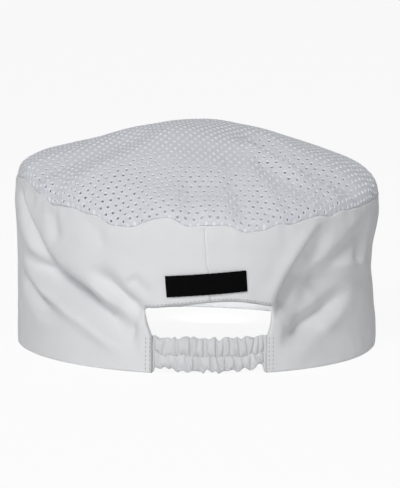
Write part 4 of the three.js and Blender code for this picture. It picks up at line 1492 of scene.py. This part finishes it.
class Cloth:
    """A cloth material being made: its node tree, its shader and the shared groups in it."""

    def __init__(self, name, colour, roughness, sheen, gloss=0.25):
        self.material = bpy.data.materials.new(name)
        self.material.use_nodes = True
        self.material.diffuse_color = (*colour, 1)
        self.tree = self.material.node_tree
        self.colour = colour
        self.shader = self.tree.nodes["Principled BSDF"]
        self.shader.inputs["Roughness"].default_value = roughness
        self.shader.inputs["Sheen Weight"].default_value = sheen
        self.shader.inputs["Sheen Roughness"].default_value = 0.45
        self.shader.inputs["Specular IOR Level"].default_value = gloss
        self.where = self.tree.nodes.new("ShaderNodeTexCoord")

    def group(self, group, **values):
        """A node of a shared group, with its inputs set or linked."""
        node = self.tree.nodes.new("ShaderNodeGroup")
        node.node_tree = group
        for label, value in values.items():
            if isinstance(value, (int, float)):
                node.inputs[label].default_value = value
            else:
                self.tree.links.new(value, node.inputs[label])
        return node

    def shade(self, tone, valley, depth):
        """Base colour from the cloth's own, a little lighter or darker in soft patches by tone, and darker
        in the weave's valleys as painted shade.
        """
        # Painted shade: the weave's valleys darken the colour, by depth.
        darker = math_node(self.tree, "MULTIPLY", valley, -depth)
        level = math_node(self.tree, "ADD", math_node(self.tree, "ADD", tone, darker), 1.0)
        scale = self.tree.nodes.new("ShaderNodeVectorMath")
        scale.operation = "SCALE"
        scale.inputs[0].default_value = self.colour
        self.tree.links.new(level, scale.inputs["Scale"])
        self.tree.links.new(scale.outputs[0], self.shader.inputs["Base Color"])

    def relief(self, height, depth, strength):
        """Fine relief of the cloth, too small for the mesh."""
        node = self.tree.nodes.new("ShaderNodeBump")
        node.inputs["Distance"].default_value = depth
        node.inputs["Strength"].default_value = strength
        self.tree.links.new(height, node.inputs["Height"])
        self.tree.links.new(node.outputs["Normal"], self.shader.inputs["Normal"])

    def weave(self, rib, slant, cut, uneven):
        """The shared weave, laid along the cloth."""
        return self.group(
            weave_group(), Cloth=self.where.outputs["UV"], Rib=rib, Slant=slant, Cut=cut, Uneven=uneven
        )

    def tone(self, strength):
        """The shared soft patches, laid through space."""
        return self.group(tone_group(), Place=self.where.outputs["Object"], Strength=strength)


def twill(name, colour, depth, strength):
    """Matt polycotton twill with fine slanting ribs."""
    cloth = Cloth(name, tuple(colour), 0.85, 0.15)
    weave = cloth.weave(0.62 * MM, 1.0, 0.45, 0.5)
    cloth.shade(cloth.tone(0.05).outputs["Tone"], weave.outputs["Valley"], 0.035)
    cloth.relief(weave.outputs["Height"], depth, strength)
    return cloth.material


def white_twill(band):
    """The band's white twill."""
    return twill("white_twill", band.colour, 0.06 * MM, 0.55)


def pin_hole_mesh(crown):
    """Bluish white warp knit with a soft sheen and fine upright loops."""
    cloth = Cloth("pin_hole_mesh", tuple(crown.colour), 0.72, 0.25)
    knit = cloth.weave(0.52 * MM, 0.0, 0.9, 0.6)
    # Painted highlights: pale rings lighten the colour on the lips round the pin holes.
    rings = cloth.group(
        lip_highlight_group(), Cloth=cloth.where.outputs["UV"], Spacing=crown.hole_spacing, Row=crown.row_spacing,
        Strength=0.3,
    )
    tone = math_node(cloth.tree, "ADD", cloth.tone(0.07).outputs["Tone"], rings.outputs["Tone"])
    cloth.shade(tone, knit.outputs["Valley"], 0.05)
    cloth.relief(knit.outputs["Height"], 0.06 * MM, 0.6)
    return cloth.material


def gathered_twill(casing):
    """The band's twill again, drawn together by the elastic, in a darker white that is painted shade of its
    gathers.
    """
    return twill("gathered_twill", casing.colour, 0.05 * MM, 0.5)


def black_weave(label):
    """Close black satin tape with fine level ribs."""
    cloth = Cloth("black_weave", tuple(label.colour), 0.7, 0.0, 0.05)
    weave = cloth.weave(0.4 * MM, 3.0, 0.3, 0.5)
    cloth.shade(cloth.tone(0.4).outputs["Tone"], weave.outputs["Valley"], 0.35)
    cloth.relief(weave.outputs["Height"], 0.05 * MM, 0.5)
    return cloth.material


def sewing_thread(thread):
    """White twisted thread, a little glossier than the cloth, its colour greyed as painted shade round it.
    """
    found = bpy.data.materials.get("sewing_thread")
    if found:
        return found
    cloth = Cloth("sewing_thread", tuple(thread.colour), 0.55, 0.1)
    twist = cloth.group(
        weave_group(), Cloth=cloth.where.outputs["Object"], Rib=0.3 * MM, Slant=1.0, Cut=0.2, Uneven=0.4
    )
    cloth.shade(cloth.tone(0.04).outputs["Tone"], twist.outputs["Valley"], 0.06)
    cloth.relief(twist.outputs["Height"], 0.04 * MM, 0.5)
    return cloth.material


# The stage


def stage_floor(stage):
    """A pale floor that sweeps up into a backdrop far behind the cap."""
    wide, front, back, tall = 6.0, 4.0, 9.0, 3.0
    bend, steps = 1.5, 12
    side = [(front, 0.0), (-back + bend, 0.0)]
    for k in range(1, steps + 1):
        a = k / steps * math.pi / 2
        side.append((-back + bend - math.sin(a) * bend, bend - math.cos(a) * bend))
    side.append((-back, tall + bend))
    points = [(x, y, z) for y, z in side for x in (-wide, wide)]
    faces = [(2 * k, 2 * k + 1, 2 * k + 3, 2 * k + 2) for k in range(len(side) - 1)]
    mesh = bpy.data.meshes.new("floor")
    mesh.from_pydata(points, [], faces)
    mesh.shade_smooth()
    floor = bpy.data.objects.new("floor", mesh)
    bpy.context.scene.collection.objects.link(floor)
    mesh.materials.append(pale_floor(stage))


def pale_floor(stage):
    """Pale matt paper that looks nearly white to the camera, and lights the cap only as paper would."""
    material = bpy.data.materials.new("pale_floor")
    material.use_nodes = True
    tree = material.node_tree
    shader = tree.nodes["Principled BSDF"]
    shader.inputs["Base Color"].default_value = (*stage.floor_colour, 1)
    shader.inputs["Roughness"].default_value = 0.9
    grain = tree.nodes.new("ShaderNodeTexNoise")
    grain.inputs["Scale"].default_value = 300.0
    relief = tree.nodes.new("ShaderNodeBump")
    relief.inputs["Distance"].default_value = 0.05 * MM
    tree.links.new(grain.outputs["Fac"], relief.inputs["Height"])
    tree.links.new(relief.outputs["Normal"], shader.inputs["Normal"])
    glow = tree.nodes.new("ShaderNodeEmission")
    glow.inputs["Strength"].default_value = 1.0
    path = tree.nodes.new("ShaderNodeLightPath")
    share = math_node(tree, "MULTIPLY", path.outputs["Is Camera Ray"], 0.92)
    mix = tree.nodes.new("ShaderNodeMixShader")
    tree.links.new(share, mix.inputs["Fac"])
    tree.links.new(shader.outputs[0], mix.inputs[1])
    tree.links.new(glow.outputs[0], mix.inputs[2])
    tree.links.new(mix.outputs[0], tree.nodes["Material Output"].inputs["Surface"])
    return material


def aim(thing, target, roll=0.0):
    """Turns an object so that its -Z axis points at a target."""
    way = Vector(target) - thing.location
    thing.rotation_mode = "QUATERNION"
    thing.rotation_quaternion = way.to_track_quat("-Z", "Y") @ Matrix.Rotation(roll, 3, "Z").to_quaternion()


def soft_light(name, place, target, size, power, colour=(1, 1, 1)):
    """A round soft light that the camera doesn't see."""
    light = bpy.data.lights.new(name, "AREA")
    light.shape = "DISK"
    light.size = size
    light.energy = power
    light.color = colour
    thing = bpy.data.objects.new(name, light)
    bpy.context.scene.collection.objects.link(thing)
    thing.location = place
    thing.visible_camera = False
    aim(thing, target)


# Where the picture's middle looks, fitted so that the cap stands in the frame as in the photograph
CAMERA_PITCH = 7.71
CAMERA_YAW = 3.678
CAMERA_ROLL = 0.705


def stage_camera(stage):
    """The camera behind and a little above the cap."""
    data = bpy.data.cameras.new("camera")
    data.lens = stage.lens
    data.sensor_width = 36
    data.dof.use_dof = False
    camera = bpy.data.objects.new("camera", data)
    bpy.context.scene.collection.objects.link(camera)
    turn = math.radians(stage.camera_turn)
    away = stage.camera_distance
    camera.location = to_frame(np.array([math.sin(turn) * away, math.cos(turn) * away, stage.camera_height]))
    yaw, pitch = math.radians(CAMERA_YAW), math.radians(CAMERA_PITCH)
    look = Vector((-math.sin(yaw) * math.cos(pitch), -math.cos(yaw) * math.cos(pitch), -math.sin(pitch)))
    aim(camera, camera.location + look, math.radians(CAMERA_ROLL))
    bpy.context.scene.camera = camera


def stage_lights(stage):
    """An even sky, a soft key high at the left, a fill by the camera, a top light and a small inner one."""
    world = bpy.data.worlds.new("studio")
    world.use_nodes = True
    sky = world.node_tree.nodes["Background"]
    sky.inputs["Color"].default_value = (0.985, 0.99, 1.0, 1)
    sky.inputs["Strength"].default_value = stage.sky
    bpy.context.scene.world = world
    middle = (0, 0, 0.05)
    soft_light("key", (0.5, 1.3, 1.05), middle, 0.45, stage.key_power)
    soft_light("fill", (0.1, 1.6, 0.35), middle, 0.5, stage.fill_power)
    soft_light("top", (-0.5, 0, 1.5), middle, 0.8, stage.top_power, (0.96, 0.98, 1))
    soft_light("inner", (-0.012, -0.05, 0.016), (-0.018, -0.093, 0), 0.03, stage.inner_power)
    bpy.context.scene.view_settings.view_transform = "Standard"


# The cloth as it was cut


def hem_girth(cap):
    """Length of the hem's oval."""
    angle = np.radians(np.arange(0, FULL_TURN + 0.1, 0.25))
    oval = np.stack([cap.half_width * np.sin(angle), hem_reach(cap, angle) * np.cos(angle)], -1)
    return float(np.linalg.norm(np.diff(oval, axis=0), axis=1).sum())


def band_cut(cap):
    """Size of the strip that the band was cut from, and its area without the opening."""
    girth = hem_girth(cap)
    rim = rim_height(cap, np.arange(0, FULL_TURN))
    opening = cap.casing_length * cap.casing_height + cap.opening_width * cap.opening_height
    return (girth, float(rim.max())), girth * float(rim.mean()) - opening


def crown_cut(cap, crown):
    """Size of the crown's oval with its seam allowance, and its area."""
    cloth = CrownCloth(cap)
    edge = cloth.flat(cloth.turns, cloth.full + crown.turning)
    x, y = edge.T
    area = abs(x[:-1] @ y[1:] - x[1:] @ y[:-1]) / 2
    return tuple(np.ptp(edge, axis=0).tolist()), float(area)


def declare_sheets(settings):
    """Works out the size that each sheet of cloth was cut to, and its area, without keeping them."""
    cap, casing = settings.cap, settings.casing
    flat, area = band_cut(cap)
    flat, area = crown_cut(cap, settings.crown)
    flat = (casing.gathering * cap.casing_length + 2 * casing.tongue, cap.casing_height)


# Operators


def finish_piece(piece, node=None):
    """Fastens a new piece to the frame, on what it rides, and hides the solid that it stands for."""
    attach(piece, "root")
    if node:
        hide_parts(node)


class SKULLCAP_OT_band(Operator):
    """Make the white twill band."""

    bl_idname = "skull_cap.make_band"
    bl_label = "Make band"

    def execute(self, context):
        settings = context.scene.skull_cap
        finish_piece(make_band(settings.cap, settings.band), "band")
        return {"FINISHED"}


class SKULLCAP_OT_crown(Operator):
    """Make the crown of pin-hole mesh."""

    bl_idname = "skull_cap.make_crown"
    bl_label = "Make crown"

    def execute(self, context):
        settings = context.scene.skull_cap
        finish_piece(make_crown(settings.cap, settings.crown), "mesh_crown")
        return {"FINISHED"}


class SKULLCAP_OT_casing(Operator):
    """Make the gathered elastic casing."""

    bl_idname = "skull_cap.make_casing"
    bl_label = "Make casing"

    def execute(self, context):
        settings = context.scene.skull_cap
        finish_piece(make_casing(settings.cap, settings.casing), "elastic_casing")
        return {"FINISHED"}


class SKULLCAP_OT_label(Operator):
    """Make the bare black label."""

    bl_idname = "skull_cap.make_label"
    bl_label = "Make label"

    def execute(self, context):
        settings = context.scene.skull_cap
        finish_piece(make_label(settings.cap, settings.label), "woven_label")
        return {"FINISHED"}


class SKULLCAP_OT_stitches(Operator):
    """Sew the stitches that show."""

    bl_idname = "skull_cap.make_stitches"
    bl_label = "Make stitches"

    def execute(self, context):
        settings = context.scene.skull_cap
        finish_piece(make_band_stitches(settings.cap, settings.band, settings.thread))
        finish_piece(make_casing_stitches(settings.cap, settings.casing, settings.thread))
        return {"FINISHED"}


class SKULLCAP_OT_stage(Operator):
    """Set the floor, the lights and the camera."""

    bl_idname = "skull_cap.set_stage"
    bl_label = "Set stage"

    def execute(self, context):
        settings = context.scene.skull_cap
        stage_floor(settings.stage)
        stage_lights(settings.stage)
        stage_camera(settings.stage)
        return {"FINISHED"}


class SKULLCAP_PT_panel(Panel):
    """Lists the cap's pieces and their settings."""

    bl_idname = "SKULLCAP_PT_panel"
    bl_label = "Skull Cap"
    bl_space_type = "VIEW_3D"
    bl_region_type = "UI"
    bl_category = "Skull Cap"

    def draw(self, context):
        settings = context.scene.skull_cap
        groups = (
            (settings.cap, None),
            (settings.band, SKULLCAP_OT_band),
            (settings.crown, SKULLCAP_OT_crown),
            (settings.casing, SKULLCAP_OT_casing),
            (settings.label, SKULLCAP_OT_label),
            (settings.thread, SKULLCAP_OT_stitches),
            (settings.stage, SKULLCAP_OT_stage),
        )
        for group, operator in groups:
            box = self.layout.box()
            for name in group.bl_rna.properties.keys():
                if name not in {"rna_type", "name"}:
                    box.prop(group, name)
            if operator:
                box.operator(operator.bl_idname)


CLASSES = (
    SKULLCAP_PG_cap,
    SKULLCAP_PG_band,
    SKULLCAP_PG_crown,
    SKULLCAP_PG_casing,
    SKULLCAP_PG_label,
    SKULLCAP_PG_thread,
    SKULLCAP_PG_stage,
    SKULLCAP_PG_settings,
    SKULLCAP_OT_band,
    SKULLCAP_OT_crown,
    SKULLCAP_OT_casing,
    SKULLCAP_OT_label,
    SKULLCAP_OT_stitches,
    SKULLCAP_OT_stage,
    SKULLCAP_PT_panel,
)


def register():
    """Adds the cap's classes and its settings."""
    for cls in CLASSES:
        bpy.utils.register_class(cls)
    bpy.types.Scene.skull_cap = PointerProperty(type=SKULLCAP_PG_settings)


def unregister():
    """Takes the cap's settings and classes away."""
    del bpy.types.Scene.skull_cap
    for cls in reversed(CLASSES):
        bpy.utils.unregister_class(cls)


def main():
    """Makes the whole cap on its stage."""
    register()
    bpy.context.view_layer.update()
    bpy.ops.skull_cap.set_stage()
    bpy.ops.skull_cap.make_band()
    bpy.ops.skull_cap.make_crown()
    bpy.ops.skull_cap.make_casing()
    bpy.ops.skull_cap.make_label()
    bpy.ops.skull_cap.make_stitches()
    declare_sheets(bpy.context.scene.skull_cap)


if __name__ == "__main__":
    main()
